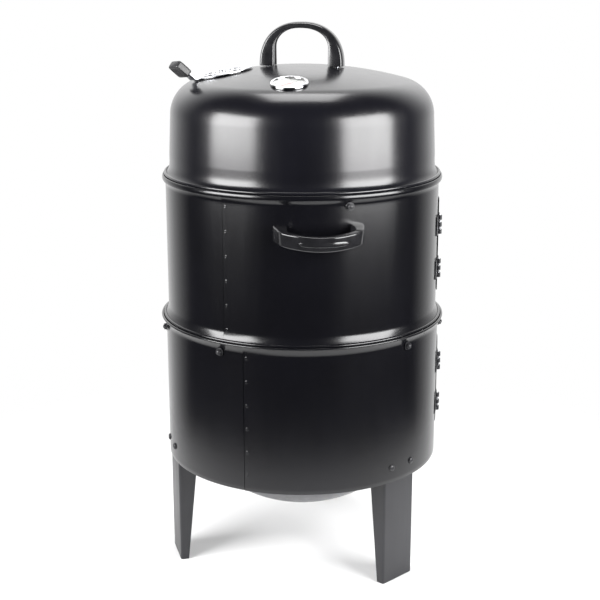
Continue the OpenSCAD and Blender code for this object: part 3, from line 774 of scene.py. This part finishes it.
def side_handle_mesh(name, azimuth):
    rows, full = side_handle_path()
    turn = Matrix.Rotation(math.radians(azimuth), 4, "Z")
    sections = []
    for i, (x, y, width, k) in enumerate(rows):
        before, after = rows[max(i - 1, 0)], rows[min(i + 1, len(rows) - 1)]
        along = Vector((after[0] - before[0], after[1] - before[1], 0)).normalized()
        if i in (0, len(rows) - 1):
            along = Vector((0, -1 if i == 0 else 1, 0))
        across = Vector((along.y, -along.x, 0))
        middle = smoothstep(0.55, 1, k)
        low = SIDE_LOW + 4.5 * MM * (1 - middle)
        high = SIDE_HIGH - 4 * MM * middle - 0.8 * MM * smoothstep(0.2, 0.6, k)
        height = high - low
        loop = []
        for u, v in rounded_outline(width, height, min(2.0 * MM, width * 0.2), 4):
            lean = FACE_LEAN * v * smoothstep(0.45, 0.7, k)
            loop.append(turn @ (Vector((x, y, (low + high) / 2)) + across * (u + lean) + Vector((0, 0, v))))
        sections.append(loop)
    bm = bmesh.new()
    loft(bm, sections)
    add_side_rib(bm, turn)
    return mesh_from(bm, name)


def add_side_rib(bm, turn):
    """The long raised panel on the front of the bow."""
    bow_y = -UPPER_R - 53.5 * MM + BOW_R
    half_turn = 26.0
    sections = []
    steps = 28
    for i in range(steps + 1):
        a = math.radians(half_turn * (2 * i / steps - 1))
        out = Vector((math.sin(a), -math.cos(a), 0))
        end = math.sqrt(max(1 - abs(2 * i / steps - 1) ** 8, 0.0025))
        drop = 0.6 * MM * (abs(2 * i / steps - 1) ** 2)
        centre = Vector((0, bow_y, (SIDE_LOW + SIDE_HIGH) / 2 - 2.0 * MM + drop)) + out * (BOW_R - 0.6 * MM)
        loop = []
        for u, v in rounded_outline(2.8 * MM, 7.4 * MM * end, min(1.2 * MM, 3.4 * MM * end), 3):
            loop.append(turn @ (centre + out * u + Vector((0, 0, v))))
        sections.append(loop)
    loft(bm, sections)


def build_side_handles():
    for node, azimuth in (("front_handle", SIDE_HANDLE_TURN), ("rear_handle", SIDE_HANDLE_TURN + 180)):
        mesh = side_handle_mesh(node + "_bow", azimuth)
        add_piece(node + "_bow", mesh, HANDLE, "upper_section", "black_handle_plastic", node, smooth=50)


# ---------------------------------------------------------------- doors

DOOR_GAP = 0.4 * MM
DOOR_CORNER = 9 * MM


def door_mesh(name, wall_r, hinge_azimuth, low, high):
    """A curved sheet with rounded corners, its outer and inner skins joined round the edge."""
    inner_r = wall_r + DOOR_GAP
    mid_azimuth = hinge_azimuth + DOOR_EDGE_TURN + DOOR_SPAN / 2
    half_w = inner_r * math.radians(DOOR_SPAN / 2)
    half_h = (high - low) / 2
    columns, rows = 64, 36
    bm = bmesh.new()
    skins = []
    for radius in (inner_r + SHEET, inner_r):
        grid = []
        for i in range(columns + 1):
            s = -half_w + 2 * half_w * i / columns
            column = []
            for k in range(rows + 1):
                t = -half_h + 2 * half_h * k / rows
                x, z = round_corner(s, t, half_w, half_h, DOOR_CORNER)
                out = out_dir(mid_azimuth + math.degrees(x / inner_r))
                column.append(bm.verts.new(out * radius + Vector((0, 0, (low + high) / 2 + z))))
            grid.append(column)
        skins.append(grid)
    outer, inner = skins
    for i in range(columns):
        for k in range(rows):
            bm.faces.new((outer[i][k], outer[i + 1][k], outer[i + 1][k + 1], outer[i][k + 1]))
            bm.faces.new((inner[i][k], inner[i][k + 1], inner[i + 1][k + 1], inner[i + 1][k]))
    rim = ([(i, 0) for i in range(columns)] + [(columns, k) for k in range(rows)]
           + [(i, rows) for i in range(columns, 0, -1)] + [(0, k) for k in range(rows, 0, -1)])
    for (i, k), (m, n) in zip(rim, rim[1:] + rim[:1]):
        bm.faces.new((outer[i][k], inner[i][k], inner[m][n], outer[m][n]))
    return mesh_from(bm, name)


def round_corner(x, z, half_w, half_h, radius):
    """Pulls points near a rectangle's corner in to a rounded corner."""
    cx, cz = abs(x) - (half_w - radius), abs(z) - (half_h - radius)
    if cx <= 0 or cz <= 0:
        return x, z
    reach = max(cx, cz)
    length = math.hypot(cx, cz)
    return (math.copysign(half_w - radius + cx * reach / length, x),
            math.copysign(half_h - radius + cz * reach / length, z))


def build_doors():
    for name, wall_r in (("lower_door", LOWER_R), ("upper_door", UPPER_R)):
        hinge = azimuth_of(joint_place(name + "_swing")[0])
        low, high = box_z(name)
        mesh = door_mesh(name + "_panel", wall_r, hinge, low, high)
        piece = add_piece(name + "_panel", mesh, SATIN, name + "_body", "black_satin_enamel", name, smooth=40)
        bevel(piece, 0.35 * MM, 2, 50)


# ---------------------------------------------------------------- legs

LEG_W = 62 * MM
LEG_T = 1.5 * MM
LEG_FACE_R = LOWER_R - SHEET - 2.8 * MM
LEG_FOOT_D = 12 * MM
LEG_TOP_D = 28 * MM
LEG_REST_Z = LOWER_BASE_Z + 12 * MM
LEG_BEND = 3.2 * MM


def leg_loop(depth, z, turn):
    """The leg's folded channel at one height."""
    half = LEG_W / 2
    y_face = -LEG_FACE_R
    outer = [(-half, y_face + depth)]
    outer += arc(-half + LEG_BEND, y_face + LEG_BEND, LEG_BEND, 180, 270, 5)
    outer += arc(half - LEG_BEND, y_face + LEG_BEND, LEG_BEND, 270, 360, 5)
    outer += [(half, y_face + depth)]
    small = LEG_BEND - LEG_T
    inner = [(half - LEG_T, y_face + depth)]
    inner += arc(half - LEG_BEND, y_face + LEG_BEND, small, 360, 270, 5)
    inner += arc(-half + LEG_BEND, y_face + LEG_BEND, small, 270, 180, 5)
    inner += [(-half + LEG_T, y_face + depth)]
    return [turn @ Vector((x, y, z)) for x, y in outer + inner]


def build_legs():
    for node in ("leg_right", "leg_left", "leg_rear"):
        low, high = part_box(node)
        azimuth = azimuth_of(((low[0] + high[0]) / 2, (low[1] + high[1]) / 2))
        azimuth = min((45, -75, 165), key=lambda a: abs((a - azimuth + 180) % 360 - 180))
        turn = Matrix.Rotation(math.radians(azimuth), 4, "Z")
        bm = bmesh.new()
        sections = []
        for i in range(9):
            z = LOWER_BASE_Z * i / 8
            sections.append(leg_loop(LEG_FOOT_D + (LEG_TOP_D - LEG_FOOT_D) * i / 8, z, turn))
        sections.append(leg_loop(LEG_TOP_D, LEG_REST_Z, turn))
        loft(bm, sections)
        plate = turn @ Matrix.Translation((0, -LEG_FACE_R + LEG_T / 2, (LEG_REST_Z + high[2]) / 2 - 1 * MM))
        outline = rounded_outline(LEG_W - 0.4 * MM, LEG_T - 0.1 * MM, 0.3 * MM, 2)
        slab(bm, plate, outline, -(high[2] - LEG_REST_Z) / 2 - 1 * MM, (high[2] - LEG_REST_Z) / 2 + 1 * MM)
        sole = turn @ Matrix.Translation((0, -LEG_FACE_R + LEG_FOOT_D / 2 + 0.6 * MM, 0))
        slab(bm, sole, rounded_outline(LEG_W - 3.4 * MM, LEG_FOOT_D - 1.6 * MM, 1 * MM, 2), 0.02 * MM, LEG_T)
        piece = add_piece(node + "_channel", mesh_from(bm, node + "_channel"), HARDWARE, "lower_section",
                          "black_hardware", node, smooth=30)
        bevel(piece, 0.3 * MM, 2, 40)


# ---------------------------------------------------------------- screws and nuts

LEG_BOLT_Z = LOWER_BASE_Z + 22 * MM
LEG_BOLT_TURN = 5.9
LEG_AZIMUTHS = (45, -75, 165)


def dome_screw(bm, matrix, head_r, head_h, shaft_r, shaft_len):
    """A domed head with a cross recess's dimple, and its shaft behind the head."""
    section = [(0, head_h * 0.72), (head_r * 0.12, head_h * 0.74), (head_r * 0.22, head_h * 0.98)]
    for i in range(1, 8):
        a = math.pi / 2 * (0.16 + 0.84 * i / 7)
        section.append((head_r * math.sin(a) ** 0.9, head_h * math.cos(a) + 0.25 * MM))
    section += [(head_r, 0), (shaft_r, 0), (shaft_r, -shaft_len), (0, -shaft_len)]
    revolve_open(bm, section, matrix, steps=28, closed_section=False)


def hex_ring(bm, matrix, across, low, high, bore):
    """A chamfered hexagon nut round a bore."""
    corner = across / math.sqrt(3)
    rings = []
    for z, inset, hexed in ((low, 0.0, 1), (high - 0.5 * MM, 0.0, 1), (high, 0.6 * MM, 1), (high, 0, 0), (low, 0, 0)):
        ring = []
        for j in range(48):
            a = 2 * math.pi * j / 48
            if hexed:
                turned = (a % (math.pi / 3)) - math.pi / 6
                radius = min((across / 2) / math.cos(turned), corner * 0.985 - inset)
            else:
                radius = bore
            ring.append(matrix @ Vector((radius * math.cos(a), radius * math.sin(a), z)))
        rings.append(ring)
    loft(bm, rings, closed=True)


def threaded_tip(bm, matrix, radius, low, high):
    """A screw end with its thread's ridges and a chamfered tip."""
    section = [(0, low), (radius * 0.86, low)]
    pitch = 0.8 * MM
    z = low + 0.2 * MM
    while z + pitch < high - 0.5 * MM:
        section += [(radius * 0.86, z), (radius, z + pitch * 0.4), (radius, z + pitch * 0.55), (radius * 0.86, z + pitch)]
        z += pitch
    section += [(radius * 0.9, high - 0.5 * MM), (radius * 0.6, high), (0, high)]
    revolve_open(bm, section, matrix, steps=24, closed_section=False)


def build_leg_screws():
    bm = bmesh.new()
    for leg in LEG_AZIMUTHS:
        for turn in (-LEG_BOLT_TURN, LEG_BOLT_TURN):
            azimuth = leg + turn
            lift = 0.06 * MM
            if 0 <= azimuth - LOWER_LAP < LAP_FADE:
                lift += LAP_STEP
            dome_screw(bm, wall_frame(azimuth, LOWER_R + lift, LEG_BOLT_Z), 4.9 * MM, 2.7 * MM, 2.5 * MM, 12.8 * MM)
    add_piece("leg_screws", mesh_from(bm, "leg_screws"), HARDWARE, "lower_section", "black_hardware", "leg_bolts",
              smooth=40)


def build_bracket_screws():
    for name, body, nuts, bolts, azimuths, wall_r, z in (
            ("lower_bracket", "lower_section", "lower_bracket_nuts", "lower_bracket_bolts",
             (-34, 86, 206, 46.5, 166, 282), LOWER_R, JOINT_Z - 16 * MM),
            ("top_bracket", "upper_section", "top_bracket_nuts", "top_bracket_bolts",
             (18.5, 138.5, 258.5), UPPER_R, MOUTH_Z - 16 * MM)):
        seat = wall_r + 0.9 * MM
        tip = wall_r + 6.8 * MM
        head = wall_r - SHEET - 0.4 * MM - LEG_T - 3.1 * MM
        bm, screws = bmesh.new(), bmesh.new()
        for azimuth in azimuths:
            place = wall_frame(azimuth, 0, z)
            turned = place @ Matrix.Rotation(math.radians(17 + 41 * azimuth), 4, "Z")
            washer = [(2.6 * MM, seat), (5.8 * MM, seat), (6 * MM, seat + 0.25 * MM), (6 * MM, seat + 0.95 * MM),
                      (5.8 * MM, seat + 1.2 * MM), (2.6 * MM, seat + 1.2 * MM)]
            revolve_open(bm, washer, place, steps=32)
            hex_ring(bm, turned, 8 * MM, seat + 1.25 * MM, seat + 4.6 * MM, 2.55 * MM)
            threaded_tip(screws, place, 2.5 * MM, wall_r - 2 * MM, tip)
            dome_screw(screws, place @ Matrix.Translation((0, 0, head + 3 * MM)) @ Matrix.Rotation(math.pi, 4, "X"),
                       4.5 * MM, 2.6 * MM, 2.5 * MM, 2.0 * MM)
        add_piece(name + "_nut_set", mesh_from(bm, name + "_nut_set"), HARDWARE, body, "black_hardware", nuts)
        add_piece(name + "_screw_set", mesh_from(screws, name + "_screw_set"), HARDWARE, body, "black_hardware",
                  bolts)


# ---------------------------------------------------------------- bowls

BOWL_T = 1.2 * MM


def bowl_mesh(name, node, mouth_r, depth):
    low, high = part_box(node)
    rim_r, low_z, top_z = high[0], low[2], high[2]
    rim_z = top_z - BOWL_T
    ball_r = (mouth_r ** 2 + depth ** 2) / (2 * depth)
    ball_z = low_z + ball_r
    turn = math.degrees(math.asin(mouth_r / ball_r))
    outer = arc(0, ball_z, ball_r, -90, turn - 90 - 1.2, 40)
    inner = arc(0, ball_z, ball_r - BOWL_T, turn - 90 - 1.0, -90, 40)
    outer[0] = (0, outer[0][1])
    inner[-1] = (0, inner[-1][1])
    roll = 1.1 * MM
    lip = [(mouth_r + 1.0 * MM, rim_z), (rim_r - 2 * roll, rim_z)]
    lip += arc(rim_r - roll, rim_z + BOWL_T - roll, roll, -90, 90, 8)
    lip += [(mouth_r + 1.5 * MM, top_z), (mouth_r - 0.6 * MM, top_z - 0.3 * MM)]
    bm = bmesh.new()
    revolve_open(bm, outer + lip + inner, steps=160, closed_section=False)
    return mesh_from(bm, name)


def build_bowls():
    for node, mouth_r, depth in (("charcoal_bowl", 169.7 * MM, 93 * MM), ("water_bowl", 168 * MM, 62 * MM)):
        mesh = bowl_mesh(node + "_pressing", node, mouth_r, depth)
        add_piece(node + "_pressing", mesh, GREY, node + "_body", "grey_enamel", node, smooth=40)


# ---------------------------------------------------------------- damper

DAMPER_R = 43 * MM
DAMPER_T = 1.2 * MM
DAMPER_GAP = 0.3 * MM
TAB_TURN = 35.0
TAB_W = 16 * MM
TAB_END = 52 * MM
TAB_LIFT = 50.0
TAB_LEN = 22 * MM
DAMPER_GRIP_W = 24 * MM
DAMPER_GRIP_T = 13 * MM
DAMPER_GRIP_H = 24 * MM
DAMPER_GRIP_LOW = 13 * MM


def build_damper_disc():
    """The disc with its four holes, and the tab that bends up from its edge."""
    bm = bmesh.new()
    revolve_open(bm, [(3.1 * MM, 0), (DAMPER_R - 0.3 * MM, 0), (DAMPER_R, 0.3 * MM),
                      (DAMPER_R, DAMPER_T - 0.3 * MM), (DAMPER_R - 0.3 * MM, DAMPER_T), (3.1 * MM, DAMPER_T)],
                 DAMPER_FRAME @ Matrix.Translation((0, 0, DAMPER_GAP)), steps=128)
    disc = punch(mesh_from(bm, "damper_plain"), vent_cutters())
    bm = bmesh.new()
    bm.from_mesh(disc)
    place = DAMPER_FRAME @ Matrix.Translation((0, 0, DAMPER_GAP)) @ Matrix.Rotation(math.radians(TAB_TURN), 4, "Z")
    sections = []
    bend = 3 * MM
    path = [(-(DAMPER_R - 4 * MM), 0, 0), (-(TAB_END - bend), 0, 0)]
    for i in range(1, 7):
        a = math.radians(TAB_LIFT * i / 6)
        path.append((-(TAB_END - bend) - bend * math.sin(a), bend * (1 - math.cos(a)), math.degrees(a)))
    end = path[-1]
    a = math.radians(TAB_LIFT)
    path.append((end[0] - TAB_LEN * math.cos(a), end[1] + TAB_LEN * math.sin(a), TAB_LIFT))
    for y, z, lean in path:
        a = math.radians(lean)
        up = Vector((0, math.sin(a), math.cos(a)))
        base = Vector((0, y, z)) + up * 0.05 * MM
        loop = []
        for u, v in rounded_outline(TAB_W, DAMPER_T - 0.1 * MM, 0.35 * MM, 2):
            loop.append(place @ (base + Vector((u, 0, 0)) + up * (v + DAMPER_T / 2 - 0.05 * MM)))
        sections.append(loop)
    loft(bm, sections)
    piece = add_piece("damper_plate", mesh_from(bm, "damper_plate"), ZINC, "damper", "zinc_plated_steel",
                      "damper_disc", smooth=30)
    bevel(piece, 0.15 * MM, 2, 50)


def build_damper_grip():
    """A ribbed plastic grip on the end of the tab."""
    place = (DAMPER_FRAME @ Matrix.Translation((0, 0, DAMPER_GAP)) @ Matrix.Rotation(math.radians(TAB_TURN), 4, "Z")
             @ Matrix.Translation((0, -TAB_END + 0.6 * MM, 0)) @ Matrix.Rotation(math.radians(90 - TAB_LIFT), 4, "X"))
    bm = bmesh.new()
    sections = []
    steps = 24
    for i in range(steps + 1):
        t = i / steps
        pull = 1 - (max(0, abs(2 * t - 1) - 0.78) / 0.22) ** 2.4 * 0.20
        outline = rounded_outline(DAMPER_GRIP_W * pull, (DAMPER_GRIP_T - 1.6 * MM) * pull, 2.6 * MM, 5)
        sections.append([place @ Vector((u, v, DAMPER_GRIP_LOW + DAMPER_GRIP_H * t)) for u, v in outline])
    loft(bm, sections)
    for side in (-1, 1):
        for k in range(4):
            u = (k - 1.5) * 5.4 * MM
            ridge = []
            for i in range(9):
                t = i / 8
                swell = math.sqrt(max(1 - (2 * t - 1) ** 6, 0.02))
                z = DAMPER_GRIP_LOW + 2.2 * MM + (DAMPER_GRIP_H - 4.4 * MM) * t
                ridge.append([place @ Vector((u + x * swell, side * (DAMPER_GRIP_T / 2 - 1.3 * MM) + y * swell, z))
                              for x, y in rounded_outline(2.9 * MM, 2.6 * MM, 1.2 * MM, 3)])
            loft(bm, ridge)
    add_piece("damper_grip_ribbed", mesh_from(bm, "damper_grip_ribbed"), GRIP, "damper", "black_handle_plastic",
              "damper_grip", smooth=45)


def build_damper_screw():
    bm = bmesh.new()
    place = DAMPER_FRAME
    section = [(0, 5.0 * MM), (1.2 * MM, 5.0 * MM), (1.6 * MM, 5.5 * MM), (4.4 * MM, 5.5 * MM), (5.3 * MM, 4.9 * MM),
               (5.3 * MM, 4.2 * MM), (4.9 * MM, 3.9 * MM), (4.2 * MM, 3.9 * MM), (4.2 * MM, 2.1 * MM),
               (5.0 * MM, 1.95 * MM), (5.0 * MM, 1.8 * MM), (3 * MM, 1.8 * MM), (3 * MM, -8 * MM), (0, -8 * MM)]
    revolve_open(bm, section, place, steps=40, closed_section=False)
    add_piece("damper_pivot", mesh_from(bm, "damper_pivot"), ZINC, "lid", "zinc_plated_steel", "damper_screw")


# ---------------------------------------------------------------- gauge

GAUGE_R = 25.5 * MM
GAUGE_H = 3.4 * MM
GAUGE_DEPTH = 13 * MM
CASE_R = GAUGE_R - 3.2 * MM
SCALE_START = 225.0
SCALE_SWEEP = 270.0


def build_gauge_metal():
    """The case that drops through the crown, and the bezel that rests on it."""
    floor_z = GAUGE_H - GAUGE_DEPTH
    top_z = GAUGE_H - 2.2 * MM
    bm = bmesh.new()
    case = [(3.1 * MM, floor_z), (CASE_R - 1.6 * MM, floor_z), (CASE_R - 0.4 * MM, floor_z + 0.5 * MM),
            (CASE_R, floor_z + 1.8 * MM), (CASE_R, top_z), (CASE_R - 1.2 * MM, top_z),
            (CASE_R - 1.2 * MM, floor_z + 2.0 * MM), (3.1 * MM, floor_z + 1.5 * MM)]
    revolve_open(bm, case, GAUGE_FRAME, steps=96)
    add_piece("gauge_cup", mesh_from(bm, "gauge_cup"), POLISHED, "lid", "polished_steel", "gauge_case", smooth=30)
    bm = bmesh.new()
    bezel = [(CASE_R + 0.05 * MM, 0.15 * MM), (GAUGE_R - 0.5 * MM, 0.15 * MM)]
    bezel += arc(GAUGE_R - 0.4 * MM, 0.55 * MM, 0.4 * MM, -60, 0, 3)
    bezel += arc(GAUGE_R - 1.7 * MM, GAUGE_H - 1.7 * MM, 1.7 * MM, 0, 90, 9)
    bezel += arc(CASE_R - 0.1 * MM, GAUGE_H - 0.5 * MM, 0.5 * MM, 90, 180, 4)
    bezel += [(CASE_R - 0.6 * MM, GAUGE_H - 1.0 * MM), (CASE_R + 0.05 * MM, GAUGE_H - 1.0 * MM)]
    revolve_open(bm, bezel, GAUGE_FRAME, steps=128)
    add_piece("gauge_ring", mesh_from(bm, "gauge_ring"), POLISHED, "lid", "polished_steel", "gauge_bezel", smooth=40)


def build_gauge_dial():
    """A white dial with ticks and plain numbers round three quarters of it."""
    face_z = GAUGE_H - 4.6 * MM
    radius = CASE_R - 1.25 * MM
    bm = bmesh.new()
    revolve_open(bm, [(1.2 * MM, face_z - 0.8 * MM), (radius, face_z - 0.8 * MM), (radius, face_z),
                      (1.2 * MM, face_z)], GAUGE_FRAME, steps=96)
    add_piece("gauge_dial_plate", mesh_from(bm, "gauge_dial_plate"), DIAL, "lid", "dial_white", "gauge_dial")
    bm = bmesh.new()
    for i in range(41):
        a = math.radians(SCALE_START - SCALE_SWEEP * i / 40)
        long_tick = i % 5 == 0
        outer, inner = 19.4 * MM, (16.2 if long_tick else 17.8) * MM
        half = (0.34 if long_tick else 0.17) * MM
        out = Vector((math.cos(a), math.sin(a), 0))
        side = Vector((-math.sin(a), math.cos(a), 0))
        base = Vector((0, 0, face_z + 0.01 * MM))
        loops = []
        for lift in (0, 0.06 * MM):
            up = Vector((0, 0, lift))
            loops.append([GAUGE_FRAME @ (base + up + p) for p in
                          (out * inner - side * half, out * outer - side * half,
                           out * outer + side * half, out * inner + side * half)])
        loft(bm, loops)
    add_piece("gauge_ticks", mesh_from(bm, "gauge_ticks"), INK, "lid", "dial_white")
    for i in range(9):
        a = math.radians(SCALE_START - SCALE_SWEEP * i / 8)
        curve = bpy.data.curves.new("gauge_number_%d" % i, "FONT")
        curve.body = str(i * 50)
        curve.size = 4.3 * MM
        curve.extrude = 0.03 * MM
        curve.align_x = "CENTER"
        curve.align_y = "CENTER"
        label = bpy.data.objects.new("gauge_number_%d" % i, curve)
        bpy.context.scene.collection.objects.link(label)
        place = Vector((math.cos(a) * 12.9 * MM, math.sin(a) * 12.9 * MM, face_z + 0.05 * MM))
        label.matrix_world = GAUGE_FRAME @ Matrix.Translation(place)
        curve.materials.append(INK)
        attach(label, "lid")


def paint_cad_nodes():
    """Materials for the CAD nodes that stay as they are, with a small bevel on their edges."""
    groups = (
        (HARDWARE, 0.25 * MM, ("leg_nuts", "lower_hinge_leaves", "upper_hinge_leaves", "lower_door_leaves",
                               "upper_door_leaves")),
        (ZINC, 0.2 * MM, ("water_bowl_brackets", "lower_grate_brackets", "top_grate_brackets", "lower_hinge_pins",
                          "upper_hinge_pins", "lower_latch_tongue", "upper_latch_tongue", "side_handle_screws",
                          "lid_handle_screws", "damper_nut", "gauge_stem", "gauge_nut")),
        (WIRE, 0, ("charcoal_grate", "lower_grate", "top_grate")),
        (HANDLE, 1.2 * MM, ("lower_latch_knob", "upper_latch_knob")),
        (RED, 0, ("gauge_needle",)),
        (GLASS, 0, ("gauge_lens",)),
    )
    for material, width, nodes in groups:
        for name in nodes:
            piece = frame["nodes"][name]
            for slot in piece.material_slots:
                slot.material = material
            if width:
                bevel(piece, width, 2, 40)


# ---------------------------------------------------------------- stage, lights and camera


def soft_light(name, place, target, width, height, power, color=(1, 1, 1)):
    light = bpy.data.lights.new(name, "AREA")
    light.shape = "RECTANGLE"
    light.size = width
    light.size_y = height
    light.energy = power
    light.color = color
    lamp = bpy.data.objects.new(name, light)
    lamp.location = place
    lamp.rotation_euler = (Vector(target) - Vector(place)).to_track_quat("-Z", "Y").to_euler()
    lamp.visible_camera = False
    bpy.context.scene.collection.objects.link(lamp)
    return lamp


def build_stage():
    """A pale floor that fades out into the white backdrop."""
    bm = bmesh.new()
    revolve_open(bm, [(0, 0), (FLOOR_R, 0), (FLOOR_R, -10 * MM), (0, -10 * MM)], Matrix.Translation((0, 0, -0.4 * MM)),
                 steps=96, closed_section=False)
    mesh = mesh_from(bm, "floor")
    material = bpy.data.materials.new("floor_white")
    material.use_nodes = True
    tree = material.node_tree
    tree.nodes.clear()
    output = tree.nodes.new("ShaderNodeOutputMaterial")
    coords = tree.nodes.new("ShaderNodeTexCoord")
    flat = tree.nodes.new("ShaderNodeVectorMath")
    flat.operation = "MULTIPLY"
    flat.inputs[1].default_value = (1, 1, 0)
    tree.links.new(coords.outputs["Object"], flat.inputs[0])
    reach = tree.nodes.new("ShaderNodeVectorMath")
    reach.operation = "LENGTH"
    tree.links.new(flat.outputs[0], reach.inputs[0])
    fade = tree.nodes.new("ShaderNodeMapRange")
    fade.interpolation_type = "SMOOTHSTEP"
    fade.inputs["From Min"].default_value = FLOOR_R * 0.45
    fade.inputs["From Max"].default_value = FLOOR_R * 0.97
    tree.links.new(reach.outputs["Value"], fade.inputs["Value"])
    speckle = tree.nodes.new("ShaderNodeTexNoise")
    speckle.inputs["Scale"].default_value = 3
    tree.links.new(coords.outputs["Object"], speckle.inputs["Vector"])
    shade = tree.nodes.new("ShaderNodeMapRange")
    shade.inputs["To Min"].default_value = 0.83
    shade.inputs["To Max"].default_value = 0.87
    tree.links.new(speckle.outputs[0], shade.inputs["Value"])
    diffuse = tree.nodes.new("ShaderNodeBsdfDiffuse")
    tree.links.new(shade.outputs["Result"], diffuse.inputs["Color"])
    clear = tree.nodes.new("ShaderNodeBsdfTransparent")
    mix = tree.nodes.new("ShaderNodeMixShader")
    tree.links.new(fade.outputs["Result"], mix.inputs["Fac"])
    tree.links.new(diffuse.outputs[0], mix.inputs[1])
    tree.links.new(clear.outputs[0], mix.inputs[2])
    tree.links.new(mix.outputs[0], output.inputs[0])
    mesh.materials.append(material)
    floor = bpy.data.objects.new("floor", mesh)
    bpy.context.scene.collection.objects.link(floor)


def build_world():
    """White to the camera and behind the object, and dark in front of it, as in a photo tent."""
    world = bpy.data.worlds.new("studio")
    bpy.context.scene.world = world
    world.use_nodes = True
    tree = world.node_tree
    tree.nodes.clear()
    output = tree.nodes.new("ShaderNodeOutputWorld")
    coords = tree.nodes.new("ShaderNodeTexCoord")
    split = tree.nodes.new("ShaderNodeSeparateXYZ")
    tree.links.new(coords.outputs["Generated"], split.inputs[0])
    depth = tree.nodes.new("ShaderNodeMapRange")
    for key, value in (("From Min", 0.30), ("From Max", 0.80), ("To Min", 0.015), ("To Max", WORLD_BACK)):
        depth.inputs[key].default_value = value
    tree.links.new(split.outputs["Y"], depth.inputs["Value"])
    height = tree.nodes.new("ShaderNodeMapRange")
    for key, value in (("From Min", 0.10), ("From Max", 0.50), ("To Min", 1.0), ("To Max", 1.9)):
        height.inputs[key].default_value = value
    tree.links.new(split.outputs["Z"], height.inputs["Value"])
    level = tree.nodes.new("ShaderNodeMath")
    level.operation = "MULTIPLY"
    tree.links.new(depth.outputs["Result"], level.inputs[0])
    tree.links.new(height.outputs["Result"], level.inputs[1])
    around = tree.nodes.new("ShaderNodeBackground")
    tree.links.new(level.outputs[0], around.inputs["Strength"])
    seen = tree.nodes.new("ShaderNodeBackground")
    seen.inputs["Strength"].default_value = 1.0
    for node in (around, seen):
        node.inputs["Color"].default_value = (1, 1, 1, 1)
    path = tree.nodes.new("ShaderNodeLightPath")
    mix = tree.nodes.new("ShaderNodeMixShader")
    tree.links.new(path.outputs["Is Camera Ray"], mix.inputs["Fac"])
    tree.links.new(around.outputs[0], mix.inputs[1])
    tree.links.new(seen.outputs[0], mix.inputs[2])
    tree.links.new(mix.outputs[0], output.inputs[0])


def build_lights():
    for name, azimuth, width, low, high, radiance in (
            ("left_box", -58, 1.25, 0.46, 1.42, 52), ("left_skirt", -58, 1.25, 0.36, 0.46, 12),
            ("right_box", 55, 1.38, 0.39, 1.42, 50), ("right_skirt", 55, 1.38, 0.28, 0.39, 14)):
        middle = Vector((0, 0, (low + high) / 2))
        soft_light(name, out_dir(azimuth) * LIGHT_DISTANCE + middle, middle, width, high - low,
                   radiance * width * (high - low))
    soft_light("top_box", (0, 0.2, 2.3), (0, 0, 0.3), 1.0, 1.0, 24)


FLOOR_R = 0.85
WORLD_BACK = 1.15
LIGHT_DISTANCE = 1.65
CAMERA_DISTANCE = 1.861
CAMERA_HEIGHT = 0.879
CAMERA_AIM_Z = 0.366
LENS_MM = 77.97
SENSOR_MM = 36.0


def build_camera():
    data = bpy.data.cameras.new("camera")
    data.lens = LENS_MM
    data.sensor_width = SENSOR_MM
    data.shift_x = -0.0035
    data.shift_y = 0.0166
    camera = bpy.data.objects.new("camera", data)
    camera.location = (0, -CAMERA_DISTANCE, CAMERA_HEIGHT)
    aim = Vector((0, 0, CAMERA_AIM_Z)) - camera.location
    camera.rotation_euler = aim.to_track_quat("-Z", "Y").to_euler()
    bpy.context.scene.collection.objects.link(camera)
    bpy.context.scene.camera = camera


build_camera()
build_world()
build_stage()
build_lights()
bpy.context.scene.view_settings.view_transform = "Standard"

build_barrels()
build_lid()
build_lid_handle()
build_side_handles()
build_doors()
build_legs()
build_leg_screws()
build_bracket_screws()
build_bowls()
build_damper_disc()
build_damper_grip()
build_damper_screw()
build_gauge_metal()
build_gauge_dial()
paint_cad_nodes()
